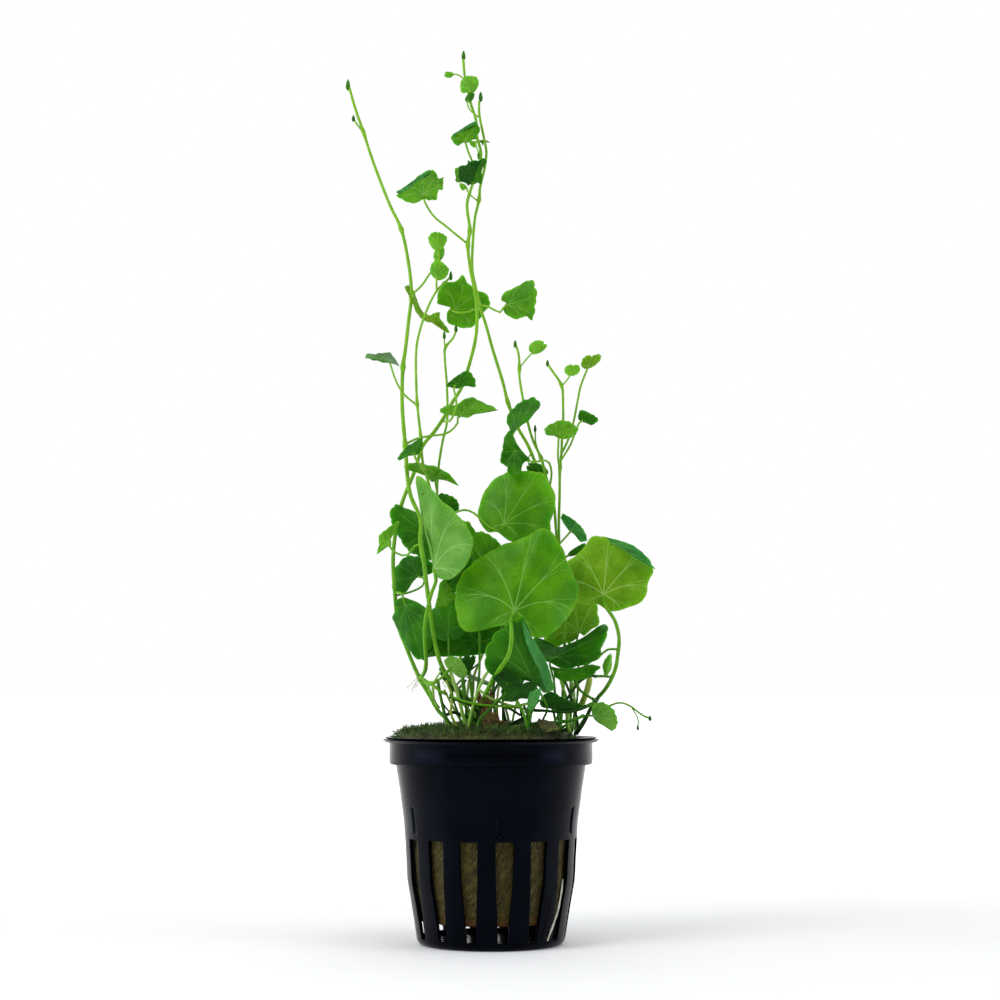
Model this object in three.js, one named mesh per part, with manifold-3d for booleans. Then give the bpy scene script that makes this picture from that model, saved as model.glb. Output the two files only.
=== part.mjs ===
// Potted Japanese cress: a net pot with a wool plug, a moss top and a tuft of
// thin stems that carry round, lobed leaves on long stalks.
// Millimetres, +Z up. The origin is the middle of the pot's foot, and -Y is the front.

import * as THREE from 'three';
import { mergeVertices } from 'three/addons/utils/BufferGeometryUtils.js';
import Module from 'manifold-3d';

const wasm = await Module();
wasm.setup();

// Driving dimensions
const gap = 0.3;                 // clearance that neighbouring pieces keep
const eye = { x: 2.2, z: 63.5, distance: 550 };
const soilLevel = 49.4;          // top of the wool plug
const rootLevel = 50.9;          // stalks from the crown end inside the moss here
const stalkRadius = 0.32;
const bladeHalf = 0.25;          // half thickness of a leaf blade
const backLobe = 0.45;           // how far the two round lobes reach behind the stalk
const notch = 0.94;              // how deep the rim is cut in behind the stalk
const rimHeart = 0.25;           // where the middle of a blade with its own outline sits
const stalkReach = 0.12;         // share of the blade that the stalk runs into
const stemStep = 7;              // length of one straight stretch of a stem
const stalkStep = 6;
const shootStep = 3.5;
const shootShare = 0.8;          // radius of a side shoot to that of its stem

const pot = {
  sides: 30,
  slots: 15,
  firstSlot: THREE.MathUtils.degToRad(9.3),
  slotWidth: { top: 4.5, bottom: 2.5 },
  slotBottom: 1.8,
  slotTop: 25.7,
  slotReach: [15, 25],           // from inside the wall to outside it
  floorSlot: { width: { top: 2.4, bottom: 2.4 }, reach: [8, 15.4], bottom: -1, top: 1.5 },
  profile: [
    [0, 0], [16.8, 0], [18, 1.2], [20.4, 16], [21.2, 29.5], [23.15, 43], [24.8, 43.3], [24.8, 48.9],
    [26.5, 48.9], [26.5, 50], [24, 50], [24, 44], [22.3, 43], [20.4, 29.5], [19.6, 16], [17.1, 1],
    [0, 1],
  ],
};

const plugProfile = [
  [0, 5.5], [17, 5.8], [19.1, 16], [19.9, 29.5], [21.6, 42.6], [23.3, 44.6],
  [23.4, soilLevel], [0, soilLevel],
];

const moss = {
  reach: 23.4,
  bareSide: 4.6,                 // how far the right side of the pot stays bare
  base: soilLevel + gap,
  crest: 52.1,
  lump: 0.45,
  fall: 0.75,                    // share of the height that is lost at the rim
  rim: 0.4,                      // thickness of the rim
};

const colours = {
  pot: '#0b0e13', wool: '#655b2e', moss: '#4a661d', stem: '#7db82c', lowStem: '#3f7a1c',
  lit: '#549e1e', shade: '#2f7a1f', blue: '#3c8b4a', yellow: '#74a51c', dead: '#8a6a32', root: '#c8c6b0',
};

// Places are typed as [x, z, depth] on the front elevation. A point moves along the
// line of sight from the eye as its depth changes, so the front view stays the same.
function place([x, z, depth]) {
  const spread = 1 + depth / eye.distance;
  return new THREE.Vector3(eye.x + (x - eye.x) * spread, depth, eye.z + (z - eye.z) * spread);
}

function signedVolume(position, order) {
  const [a, b, c] = [new THREE.Vector3(), new THREE.Vector3(), new THREE.Vector3()];
  let sum = 0;
  for (let i = 0; i < order.length; i += 3) {
    a.fromBufferAttribute(position, order[i]);
    b.fromBufferAttribute(position, order[i + 1]);
    c.fromBufferAttribute(position, order[i + 2]);
    sum += a.dot(b.cross(c));
  }
  return sum;
}

// Turns a closed three.js geometry into a solid that can be joined and cut.
function solid(geometry) {
  const bare = geometry.index ? geometry.toNonIndexed() : geometry.clone();
  bare.deleteAttribute('normal');
  bare.deleteAttribute('uv');
  const merged = mergeVertices(bare, 1e-4);
  const corners = [];
  for (let i = 0; i < merged.index.count; i += 3) {
    const [a, b, c] = [0, 1, 2].map((k) => merged.index.getX(i + k));
    if (a !== b && b !== c && c !== a) corners.push(a, b, c);
  }
  if (signedVolume(merged.attributes.position, corners) < 0) corners.reverse();
  return new wasm.Manifold(new wasm.Mesh({
    numProp: 3,
    vertProperties: new Float32Array(merged.attributes.position.array),
    triVerts: new Uint32Array(corners),
  }));
}

function toMesh(name, body, colour, roughness = 0.5) {
  const { vertProperties, triVerts } = body.getMesh();
  const geometry = new THREE.BufferGeometry();
  geometry.setAttribute('position', new THREE.BufferAttribute(new Float32Array(vertProperties), 3));
  geometry.setIndex(new THREE.BufferAttribute(new Uint32Array(triVerts), 1));
  geometry.computeVertexNormals();
  const material = new THREE.MeshStandardMaterial({ color: colour, roughness, metalness: 0 });
  const mesh = new THREE.Mesh(geometry, material);
  mesh.name = name;
  return mesh;
}

const join = (bodies) => bodies.reduce((sum, body) => sum.add(body));

// A round rod of constant radius along a smooth curve through the points.
function tube(points, radius, { sides = 4, step = stemStep } = {}) {
  const curve = new THREE.CatmullRomCurve3(points, false, 'centripetal');
  const ring = Array.from({ length: sides }, (_, i) => {
    const turn = (2 * Math.PI * i) / sides;
    return new THREE.Vector2(radius * Math.cos(turn), radius * Math.sin(turn));
  });
  const steps = Math.max(2, Math.round(curve.getLength() / step));
  return solid(new THREE.ExtrudeGeometry(new THREE.Shape(ring), { steps, extrudePath: curve }));
}

// The points of an outline as shares of the blade's length and of its half width.
function rimShares({ joint, tip, left, right, rim }) {
  const flat = ([x, z]) => new THREE.Vector2(x - joint[0], z - joint[1]);
  const [along, toLeft, toRight] = [tip, left, right].map(flat);
  return rim.map((spot) => {
    const point = flat(spot);
    const onRight = along.cross(point) * along.cross(toRight) > 0;
    const side = onRight ? toRight : toLeft;
    const b = along.cross(point) / along.cross(side);
    return [point.cross(side) / along.cross(side), onRight ? b : -b];
  });
}

// A small leaf has a kidney outline through the tip and the two widest points.
function kidneyShares(point, lobe, taper) {
  const turn = Math.atan2(point.z, point.x);
  const reach = 1 - notch * (Math.abs(turn) / Math.PI) ** 6;
  const a = reach * Math.cos(turn);
  return [a < 0 ? a * lobe : a, reach * Math.sin(turn) * (1 - taper * Math.max(a, 0))];
}

// A leaf blade is a flattened ball. Its poles sit where the stalk meets the blade, or a
// little further in where the blade has an outline of its own.
function blade(leaf) {
  const { joint, tip, left, right, rim, cup = 0.6, curl = 0, taper = 0, lobe = backLobe } = leaf;
  const sides = rim ? rim.length : leaf.sides ?? 9;
  const traced = rim && rimShares(leaf);
  const heart = rim ? rimHeart : 0;
  const [J, T, L, R] = [joint, tip, left, right].map(place);
  const along = T.clone().sub(J);
  const toLeft = L.clone().sub(J);
  const toRight = R.clone().sub(J);
  const front = R.clone().sub(L).cross(along).normalize();
  const ball = new THREE.SphereGeometry(1, sides, sides < 11 ? 2 : 4);
  const position = ball.attributes.position;
  const point = new THREE.Vector3();
  for (let i = 0; i < position.count; i += 1) {
    point.fromBufferAttribute(position, i);
    const polar = Math.acos(THREE.MathUtils.clamp(point.y, -1, 1));
    const out = 1 - Math.abs(polar / (Math.PI / 2) - 1);
    const [rimA, rimB] = rim ? traced[i % (sides + 1) % sides] : kidneyShares(point, lobe, taper);
    const a = heart + (rimA - heart) * out;
    const b = rimB * out;
    const thick = bladeHalf * (1 - out * out) * Math.sign(point.y);
    const rise = Math.abs(point.y) < 1e-6 ? 0 : thick;
    const bend = cup * b * b + curl * Math.max(a, 0) ** 2;
    const spot = J.clone().addScaledVector(along, a);
    spot.addScaledVector(b > 0 ? toRight : toLeft, Math.abs(b));
    spot.addScaledVector(front, rise - bend);
    position.setXYZ(i, spot.x, spot.y, spot.z);
  }
  return solid(ball);
}

// Carries a route straight down to a level, or to the usual depth in the moss.
function sink(route, level) {
  const end = route.at(-1);
  route.push(new THREE.Vector3(end.x, end.y, level === true ? rootLevel : level));
}

// A leaf is its blade with the stalk grown on. A leaf from the crown runs on down into
// the moss, or to the level that crown gives.
function leafBody(leaf) {
  const { joint, tip, stalk, rim, radius = stalkRadius, crown = false } = leaf;
  const start = place(joint).lerp(place(tip), rim ? rimHeart : stalkReach);
  const route = [start, place(joint), ...stalk.map(place)];
  if (crown) sink(route, crown);
  const bodies = [blade(leaf), tube(route, radius, { sides: 3, step: stalkStep })];
  if (leaf.second) bodies.push(blade(leaf.second));
  return join(bodies);
}

// A pointed oval bud at the end of a shoot.
function bud([x, z, depth], radius, length, grow) {
  const ball = new THREE.SphereGeometry(1, 5, 3);
  ball.rotateX(Math.PI / 2);
  ball.scale(radius + grow, radius + grow, length / 2 + grow);
  const spot = place([x, z, depth]);
  ball.translate(spot.x, spot.y, spot.z);
  return solid(ball);
}

// A stem with its buds and side shoots. grow makes the same stem thicker all
// round, for the room that a neighbour has to leave.
function stemBody({ line, radius, buds = [], shoots = [], rooted = true }, grow = 0) {
  const route = line.map(place);
  if (rooted) sink(route, rooted);
  const bodies = [tube(route, radius + grow)];
  buds.forEach(([spot, wide, long]) => bodies.push(bud(spot, wide, long, grow)));
  const shootRadius = radius * shootShare + grow;
  shoots.forEach((shoot) => bodies.push(tube(shoot.map(place), shootRadius, { step: shootStep })));
  return join(bodies);
}

// Pot: a turned shell with upright slots all round and slots in the floor.
function turned(profile, sides, start) {
  const shape = new THREE.LatheGeometry(profile.map(([r, z]) => new THREE.Vector2(r, z)), sides, start);
  shape.rotateX(Math.PI / 2);
  return solid(shape);
}

function radialBox([inner, outer], width, bottom, top, turn) {
  const box = new THREE.BoxGeometry(width.top, outer - inner, top - bottom);
  const position = box.attributes.position;
  for (let i = 0; i < position.count; i += 1) {
    if (position.getZ(i) < 0) position.setX(i, (position.getX(i) * width.bottom) / width.top);
  }
  box.translate(0, -(inner + outer) / 2, (bottom + top) / 2);
  box.rotateZ(turn);
  return solid(box);
}

function potBody() {
  const pitch = (2 * Math.PI) / pot.slots;
  let body = turned(pot.profile, pot.sides, pot.firstSlot - pitch / 4);
  for (let i = 0; i < pot.slots; i += 1) {
    const turn = pot.firstSlot + i * pitch;
    const { width, reach, bottom, top } = pot.floorSlot;
    body = body.subtract(radialBox(pot.slotReach, pot.slotWidth, pot.slotBottom, pot.slotTop, turn));
    body = body.subtract(radialBox(reach, width, bottom, top, turn));
  }
  return body;
}

// Moss: a low lumpy cushion on the plug, with the right side of the pot left bare.
function mossBody(grow = 0) {
  const ball = new THREE.SphereGeometry(1, 16, 6);
  ball.rotateX(Math.PI / 2);
  const position = ball.attributes.position;
  for (let i = 0; i < position.count; i += 1) {
    const [x, y, z] = [position.getX(i), position.getY(i), position.getZ(i)];
    const turn = Math.atan2(y, x);
    const out = 1 - Math.abs(Math.acos(THREE.MathUtils.clamp(z, -1, 1)) / (Math.PI / 2) - 1);
    const reach = moss.reach - moss.bareSide * Math.max(0, Math.cos(turn)) ** 2 + grow;
    const lumps = moss.lump * Math.sin(5 * turn + 7 * out) * Math.sin(9 * out + 2 * turn) * out;
    const height = (moss.crest - moss.base + lumps) * (1 - moss.fall * out ** 4) + grow;
    const level = z > 1e-6 ? moss.base + height : moss.base - grow;
    const spot = out > 0.99 ? moss.base + moss.rim : level;
    position.setXYZ(i, reach * out * Math.cos(turn), reach * out * Math.sin(turn), spot);
  }
  return solid(ball);
}

// Stems, each from its growing tip down to the crown
const stems = {
  stem_a: {
    radius: 0.52,
    line: [
      [-35.6, 211.8, 8], [-34, 206.2, 8], [-31.9, 200.1, 8], [-29.6, 193, 7.5], [-25.2, 181.6, 6.5],
      [-22.4, 175.6, 6], [-20.4, 166, 5], [-19.8, 159, 4], [-20.4, 153.2, 3.2], [-21.2, 145.7, 2.4],
      [-21.8, 141.2, 2], [-22, 131.7, 0.5], [-21.2, 121.5, -1], [-20, 109.6, -3], [-17.4, 103.2, -5],
      [-17.4, 97.3, -8], [-16.6, 92.9, -9.5], [-15.5, 84.5, -11], [-14.9, 80.1, -12], [-13.5, 71.8, -13],
      [-11.8, 66.5, -11.5], [-8.1, 61.5, -9], [-5.3, 58.9, -6.5], [-2.4, 56.7, -4], [-1.5, 53.5, -2],
    ],
    buds: [[[-35.8, 212.1, 8], 0.8, 3], [[-34.4, 203.6, 8], 0.6, 1.8]],
    shoots: [[[-31.9, 200.1, 8], [-33.2, 201.6, 8], [-34.3, 203.4, 8]]],
  },
  stem_b: {
    radius: 0.5,
    line: [
      [-7, 218.7, -2], [-6.6, 214.1, -2], [-5.7, 210.2, -1.7], [-5, 207, -1.5], [-3.8, 203.2, -1.2],
      [-3.6, 199.1, -1], [-2.5, 194.3, -0.5], [-4.5, 187.4, 0], [-6, 181.9, -0.5], [-5.3, 175.3, -1],
      [-5.8, 171.8, -1.2], [-5.3, 166.5, -1.5], [-3.8, 158.2, -2], [-3.5, 154, -2], [-3.8, 148.4, -2],
      [-5.2, 142.4, 1], [-7.4, 135.7, 2.5], [-9.7, 132, 3], [-11.6, 128.5, 3], [-14.3, 124.5, 3],
      [-16.8, 121.5, 3.2], [-18.8, 115.3, 3.5], [-22.2, 106.4, 4], [-23.6, 99.3, 4], [-24.1, 93.1, 2],
      [-23.6, 84.8, -1], [-22.8, 77.2, 1], [-20.5, 71.1, 0], [-18, 65.2, -2], [-14.8, 59.5, -4],
      [-12.9, 56.2, -5], [-10.7, 53.8, -6],
    ],
    buds: [[[-6.9, 219.6, -2], 0.7, 2.6]],
    leaflets: [
      {
        joint: [-3.6, 196.6, 4], tip: [-0.2, 197.4, 5], left: [-3, 197.8, 8], right: [-4.4, 195.8, 2],
        stalk: [[-3.6, 195.8, 2.4], [-3, 195, 0.5], [-2.7, 194.4, -0.4]], cup: 0.3,
      },
    ],
  },
  stem_c: {
    radius: 0.47,
    line: [
      [-3, 208, -3], [-3, 204.9, -3], [-2, 199.6, -2.4], [-1.2, 195.3, 0.5], [-1.5, 191.7, 1.4],
      [-2.8, 185.9, 2], [-3, 183.1, 2.2], [-4, 178.6, 2.4], [-4.6, 171.3, 2.5], [-4.7, 165.3, 2.8],
      [-3.8, 160.7, 3], [-2.8, 156.2, 3], [-1.2, 151.2, 3.5], [0.3, 145.7, 4], [2.9, 137.2, 4.6],
      [4.2, 132, 5], [6.7, 125.7, 5.6], [9, 121.7, 5.9], [10.7, 117.7, 6], [12.1, 112.8, 6.4],
      [13.3, 103, 7], [14.5, 90.7, 8], [14, 78.4, 8], [12, 66.2, 7.5], [9, 55, 6.5],
    ],
    buds: [[[-2.6, 209.1, -3], 0.7, 2.6]],
  },
  stem_d: {
    radius: 0.42,
    line: [
      [-10.3, 163.3, -4], [-13.4, 160.2, -4], [-15.2, 157, -3.8], [-16.9, 152.7, -3.4],
      [-18.3, 147.4, -3], [-18.6, 144.2, -3], [-18.6, 139.2, -3], [-18.3, 132, -3], [-17.4, 123.8, -3],
      [-16.8, 116.8, -3], [-16, 114.1, -2.6], [-13.5, 105.4, -1], [-10.1, 93.1, -0.5], [-7.1, 78.4, 0],
      [-5.1, 63.8, 0.5], [-4, 53, 0.5],
    ],
    buds: [[[-10, 163.8, -4], 0.6, 2.4]],
  },
  stem_e: {
    radius: 0.42,
    line: [
      [-8.7, 150.2, 4], [-9.4, 148.2, 4], [-11.4, 145.9, 4], [-11.5, 144, 4], [-10.9, 135.4, 5],
      [-10.9, 127.2, 5], [-11.9, 122.8, 5], [-12.9, 116.6, 4.6], [-13.3, 110.4, 4.2], [-13.1, 103, 4],
      [-11.3, 93.1, 4.2], [-8.8, 78.4, 4.6], [-5.6, 53, 5],
    ],
    buds: [[[-8.7, 150.6, 4], 0.6, 2.2], [[-11.6, 148.9, 4], 0.55, 2.2]],
    shoots: [[[-11.6, 148.6, 4], [-11.6, 147.4, 4], [-11.4, 145.9, 4]]],
  },
  stem_f: {
    radius: 0.45,
    line: [
      [6.1, 146.5, -1], [6.8, 144.3, -1], [7, 140.8, -1], [7, 138.7, -1], [7.9, 132.9, -0.5],
      [9, 127.5, 0.2], [10.3, 122.8, 0.6], [12.3, 118.4, 1], [13.5, 114.1, 1.5], [14.8, 109.1, 2],
      [15.5, 106.7, 2.4], [16.1, 99.3, 3], [16.9, 94.3, 3.6], [18.2, 83.3, 4.4], [19.3, 71.1, 5],
      [19.6, 61.3, 5], [19.3, 52, 5],
    ],
    buds: [[[6, 146.7, -1], 0.6, 2], [[10.9, 125.6, 0.5], 0.5, 2]],
    shoots: [[[10.9, 125.4, 0.5], [11, 122.2, 0.6], [11.8, 119.6, 0.8]]],
    leaflets: [
      {
        joint: [10.3, 144.8, -1], tip: [13.2, 146.8, -1], left: [9.9, 147, -1], right: [12.3, 144.6, -1],
        stalk: [[8.8, 143, -1], [7.2, 141, -1]], cup: 0.3,
      },
    ],
    rooted: soilLevel + 0.1,
  },
  stem_g: {
    radius: 0.45,
    line: [
      [14.1, 141.6, -2], [15.2, 139.9, -2], [16.1, 138.7, -2], [17.5, 136.2, -1.6], [17.8, 132, -1],
      [17.8, 127.5, 0], [17.5, 123, 0], [17.4, 120.3, 0], [17, 115.8, 0], [16.9, 109.1, 0],
      [16.7, 102.7, 0], [16.7, 98.8, 0], [16.9, 93.1, 0.4], [18, 83, 1], [17.6, 60, 1.6], [17, 52.5, 2],
    ],
    buds: [[[14, 141.9, -2], 0.55, 1.8]],
    leaflets: [
      {
        joint: [19.7, 139.1, -2], tip: [20.3, 141.4, -2], left: [18.1, 140.2, -2], right: [22, 139.9, -2],
        stalk: [[18.8, 137.7, -2], [17.6, 136.4, -1.7]], cup: 0.2,
      },
    ],
  },
  right_stem: {
    radius: 0.42,
    line: [
      [31.1, 71.2, -3], [28.7, 71.2, -3], [26.6, 69.6, -3], [24, 67.9, -3], [21.6, 65.8, -2.6],
      [20.3, 63.7, -2.2], [21, 62.1, -1.8], [23.2, 60.1, -1.2], [25.4, 58.7, -0.6], [24.6, 57.1, -0.2],
      [22.5, 53.9, 0], [20.5, 50.9, 0],
    ],
    buds: [[[31.2, 71.2, -3], 0.7, 1.6], [[29.6, 64.7, -3], 0.5, 1.2]],
    shoots: [[[20.6, 63.1, -2], [23, 64.3, -2.6], [26.2, 64.7, -3], [29.4, 64.6, -3]]],
    leaflets: [
      {
        joint: [28, 64.4, -3.2], tip: [29.3, 70, -2.2],
        left: [27.3, 67.4, -1.4], right: [29.6, 66.6, -1.4],
        stalk: [[27.4, 64.5, -3], [26.6, 64.6, -3]], cup: 0.3, sides: 8, taper: 0.5, lobe: 0.1,
      },
    ],
    rooted: soilLevel + 0.1,
  },
};

// Runners: thin stems that start from the right stem's knot and run over the pot's rim
const runners = {
  right_runner: {
    radius: 0.36,
    line: [
      [38.8, 54.4, -6], [37.3, 55, -6], [35.5, 56.3, -5.6], [33.7, 57.6, -5.2], [31.4, 58.2, -4.8],
      [28.4, 57.2, -4.4], [26.6, 56.7, -3], [24.9, 57.3, -1],
    ],
    buds: [[[38.9, 54.4, -6], 0.55, 1.4], [[35.9, 52.1, -5.4], 0.45, 1.4]],
    shoots: [[[34.2, 57.3, -5.3], [35.3, 55.6, -5.4], [36, 54.2, -5.4], [35.9, 52.4, -5.4]]],
    rooted: false,
  },
  long_runner: {
    radius: 0.36,
    line: [
      [25, 58.3, -1], [23.4, 57.6, -2.6], [21.6, 56.9, -3.6], [17.8, 56.2, -5.4], [13.6, 56.2, -7.4],
      [10.4, 56.2, -9.8], [7.1, 56.9, -12.6], [3.9, 57.2, -14.4], [-1.7, 57.6, -15.2],
      [-6.1, 58.4, -15.4], [-9.8, 59.8, -15],
    ],
    buds: [[[-9.9, 59.8, -15], 0.5, 1.4]],
    rooted: false,
  },
};

// Outlines of leaves as [x, z], from the notch round the tip and back
const outlines = {
  leaf_01: [
    [-6.1, 210.1], [-7.3, 210.1], [-7.8, 211.4], [-7.6, 213.1], [-6.3, 214.3], [-5.1, 214.5],
    [-3.6, 214.2], [-3.1, 212.6], [-3.8, 210.8], [-5.1, 209.8],
  ],
  leaf_02: [
    [-7.3, 197.4], [-8.8, 197], [-10, 198.4], [-9.8, 199.5], [-6.5, 201.4], [-3.8, 203.2],
    [-2.5, 200.9], [-3.3, 199.1], [-4.8, 197.4], [-5.8, 197.2],
  ],
  leaf_03: [
    [-17.7, 183.7], [-18.7, 182.1], [-20.7, 182.4], [-23.7, 185], [-21, 186.7], [-17.7, 189],
    [-15, 190.5], [-11.8, 188.8], [-12, 185.7], [-13.7, 183.4], [-15.7, 183.1],
  ],
  leaf_04: [
    [-5.8, 186.7], [-7.5, 187.7], [-8.8, 187.6], [-9, 190.5], [-7.3, 191.8], [-5, 192.8], [-1.3, 193.8],
    [-1.8, 190.8], [-2.8, 187.5], [-4.3, 187],
  ],
  leaf_05: [
    [-14, 170.3], [-15, 171.3], [-15.7, 173.3], [-14.7, 174.7], [-12.7, 174.7], [-11, 173.6],
    [-11.5, 171.6], [-12.5, 170.3],
  ],
  leaf_06: [
    [-14.2, 163.3], [-15.2, 165], [-14.7, 167.1], [-13.2, 167.8], [-11.5, 166.8], [-10.5, 165.5],
    [-11.2, 163.5], [-12.7, 162.7],
  ],
  leaf_08: [
    [-10, 156.1], [-13.2, 156.8], [-13.4, 158.3], [-12.7, 160.8], [-11.5, 162.5], [-9, 162.4],
    [-7, 164.2], [-5, 161.5], [-1.3, 159], [-0.3, 157], [-2, 154.2], [-4.5, 151.2], [-7.5, 150.9],
    [-10.7, 152.2], [-11, 154.5],
  ],
  leaf_09: [
    [3.9, 157.3], [2.7, 157.6], [2.9, 159.3], [5.2, 160.6], [9.9, 162.8], [11.3, 160.3], [10.8, 155.8],
    [10, 152.6], [8.7, 153.7], [6.4, 152.9], [3.7, 154], [2.9, 155.8],
  ],
  leaf_10: [
    [-25.5, 141.9], [-28, 142.7], [-31.2, 143.5], [-30.5, 144.6], [-27.3, 144.4], [-24.8, 144.2],
    [-22.6, 142.2], [-22.8, 141.5], [-24.5, 141.7],
  ],
  leaf_11: [
    [-10.4, 136], [-11.2, 136.4], [-8.2, 139], [-5.7, 140.1], [-4, 138], [-4, 136.1], [-6.2, 136.2],
    [-8.4, 135.6],
  ],
  leaf_12: [
    [-9.7, 128.7], [-12.4, 129.4], [-12.4, 131.3], [-8.4, 131.9], [-5, 133.8], [-1.5, 132.3],
    [1.7, 130], [-1, 130.3], [-3.2, 129.6], [-6.7, 128.5],
  ],
  leaf_16: [
    [15.5, 123.8], [13.6, 124.2], [13.3, 126], [15.8, 127.4], [19, 127.4], [21.5, 126], [20.7, 124.1],
    [19, 123.1], [17.3, 123.2],
  ],
  leaf_18: [
    [21.7, 127.8], [21.5, 129], [22.2, 130.3], [24.5, 129.5], [26.5, 127.9], [24.9, 126.5], [23.5, 127],
  ],
  leaf_19: [
    [-20.3, 118.8], [-22.7, 117.8], [-23.2, 118.8], [-20.5, 121.3], [-17.1, 123.4], [-16.8, 121.6],
    [-17.6, 119.8], [-18.8, 119.1],
  ],
  leaf_20: [
    [-14.6, 112.2], [-16.3, 114.1], [-21.5, 116.1], [-20.3, 117.2], [-15.8, 116.9], [-12.4, 115.5],
    [-9.4, 113.6], [-8, 111.9], [-10.9, 112.8], [-13.1, 112.8],
  ],
  leaf_21: [
    [-14.3, 89.9], [-14, 94.4], [-15.5, 99.8], [-17.5, 106.2], [-18.6, 111.9], [-18, 113.9],
    [-15.1, 111.4], [-11.1, 107], [-8.6, 104.7], [-5.9, 100.8], [-4.6, 96.6], [-5.7, 92.6],
    [-7.9, 89.7], [-11.1, 88.2],
  ],
  leaf_22: [
    [1.5, 99.8], [-0.8, 100], [-3.2, 103.7], [-2.5, 108.4], [0.2, 112.9], [3.4, 114.6], [8.1, 115.1],
    [12.8, 114.6], [15.5, 110.7], [16, 107.9], [14.8, 103], [14.3, 99.1], [8.8, 96.8], [4.2, 98.1],
  ],
  leaf_23: [
    [2, 76.9], [-6.4, 75.8], [-8.6, 80.9], [-8.4, 87.2], [-5.9, 91.2], [2, 97], [7.1, 98.6],
    [13.3, 101.3], [16.2, 97.8], [18.9, 92.6], [21.7, 86], [19.9, 80.6], [14.7, 75], [10.5, 74.2],
    [6.4, 76.4],
  ],
  leaf_24: [
    [26.3, 82.3], [21.4, 82.3], [17.7, 85.3], [17.2, 91.2], [22.4, 95.9], [25.1, 99.1], [30.5, 98.1],
    [37.9, 94.1], [40.3, 90.8], [39.2, 88.7], [37.3, 83.3], [32.9, 81.3], [29.2, 80.6],
  ],
  leaf_25: [
    [19.4, 73], [16.4, 71.8], [15.7, 75.5], [18.4, 78.9], [20.1, 81.3], [26, 82.1], [26.7, 76.9],
    [24.8, 76], [22.6, 74.2],
  ],
  leaf_26: [
    [13.6, 68.9], [16.4, 69.2], [20.6, 72.8], [27.7, 77.7], [28.9, 76], [27.6, 73], [26.5, 69.3],
    [22.5, 67.3], [18.1, 66.4], [14.2, 66.9],
  ],
  leaf_27: [
    [4.2, 63.8], [0.5, 64.5], [-1, 66.4], [-1, 70.6], [1.5, 74.7], [7.4, 79.1], [10.5, 73.3],
    [13.2, 67.9], [15.2, 61.8], [13, 60.6], [11, 62.7], [7.6, 63.7],
  ],
  leaf_29: [
    [12.2, 59.3], [14.4, 60.9], [17.9, 59.3], [22.5, 57.4], [21, 56.2], [18.3, 55.8], [14.9, 56.7],
    [12.2, 57.4],
  ],
  leaf_30: [
    [24.7, 57.1], [26.7, 58.4], [28.6, 57.8], [30.1, 56.4], [31, 53], [29.8, 51.3], [27.9, 52.3],
    [25.2, 54.2],
  ],
  leaf_31: [
    [-14.5, 96.8], [-14.3, 93.1], [-19.9, 95.1], [-23.2, 99.8], [-24.9, 103.5], [-23.7, 106.8],
    [-20, 105.7], [-17.3, 104.7], [-15.3, 102],
  ],
  leaf_32: [
    [-25.6, 96.3], [-28.1, 94.6], [-27.6, 96.8], [-27.6, 99.1], [-25.4, 101], [-22.7, 102.8],
    [-23.2, 100.5], [-24.6, 98.6], [-24.6, 96.6],
  ],
  leaf_33: [
    [-18, 88.8], [-21.6, 85], [-24.1, 86], [-24.1, 89], [-22.9, 92.4], [-20.2, 94.4], [-14.3, 92.6],
    [-14.3, 90.4], [-16.2, 89.2],
  ],
  leaf_34: [
    [-20.9, 83.9], [-16.5, 81.6], [-15, 78.4], [-14.7, 73], [-16.7, 68.6], [-20.4, 71.3], [-22.3, 74.5],
    [-24.4, 78.9], [-23.1, 81.3], [-23.8, 82.6], [-22.4, 83.8],
  ],
  leaf_35: [
    [-12.3, 73.5], [-14.5, 76.2], [-14.5, 81.1], [-11.1, 83.3], [-7.9, 82.6], [-5.7, 78.4],
    [-7.1, 74.7], [-9.3, 73.5],
  ],
  leaf_36: [
    [1.5, 71.5], [1.5, 69.8], [-1, 70.2], [-5.2, 69.6], [-10.1, 69.8], [-14.7, 69.8], [-14.2, 71.8],
    [-10.6, 75.5], [-6.4, 76.2], [-0.7, 76.9], [1.5, 75.5],
  ],
  leaf_37: [
    [-10.8, 66.7], [-11.5, 68.4], [-10.1, 69.5], [-7.8, 69], [-6.1, 66.7], [-5.9, 64.9], [-7.6, 64.3],
    [-9.6, 65.7],
  ],
  leaf_42: [
    [-5.2, 91.4], [-6.2, 96.1], [-7.6, 101], [-7.2, 102.8], [-5.4, 102.5], [-3.2, 99.1], [-0.5, 95.6],
    [-2.2, 92.6],
  ],
  leaf_43: [
    [-1.2, 92.6], [-3.7, 95.6], [-4.4, 98.8], [-3, 100.3], [-0.5, 99.4], [2.4, 96.8], [2.2, 93.9],
  ],
  leaf_44: [
    [-12.8, 105.5], [-13.3, 107.9], [-12.6, 109.6], [-10.6, 109.3], [-8.4, 107.9], [-7.9, 105.7],
    [-10.1, 104.7],
  ],
  leaf_45: [
    [19.2, 100.3], [17.2, 103.5], [17.7, 104.6], [20.4, 103], [22.9, 100.5], [23.6, 98.1], [22.1, 97.6],
    [20.4, 99.5],
  ],
  leaf_46: [
    [18.9, 94.6], [20.2, 95.9], [23.1, 97.3], [23.1, 95.9], [21.4, 94.6], [19.4, 94],
  ],
  leaf_49: [
    [15.2, 65.9], [14.4, 67.1], [15.9, 66.8], [20.6, 66.7], [24.7, 67.6], [26.7, 66.9], [24.7, 64.9],
    [21.8, 63.8], [18.1, 63.5], [15.7, 64.5],
  ],
};

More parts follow.
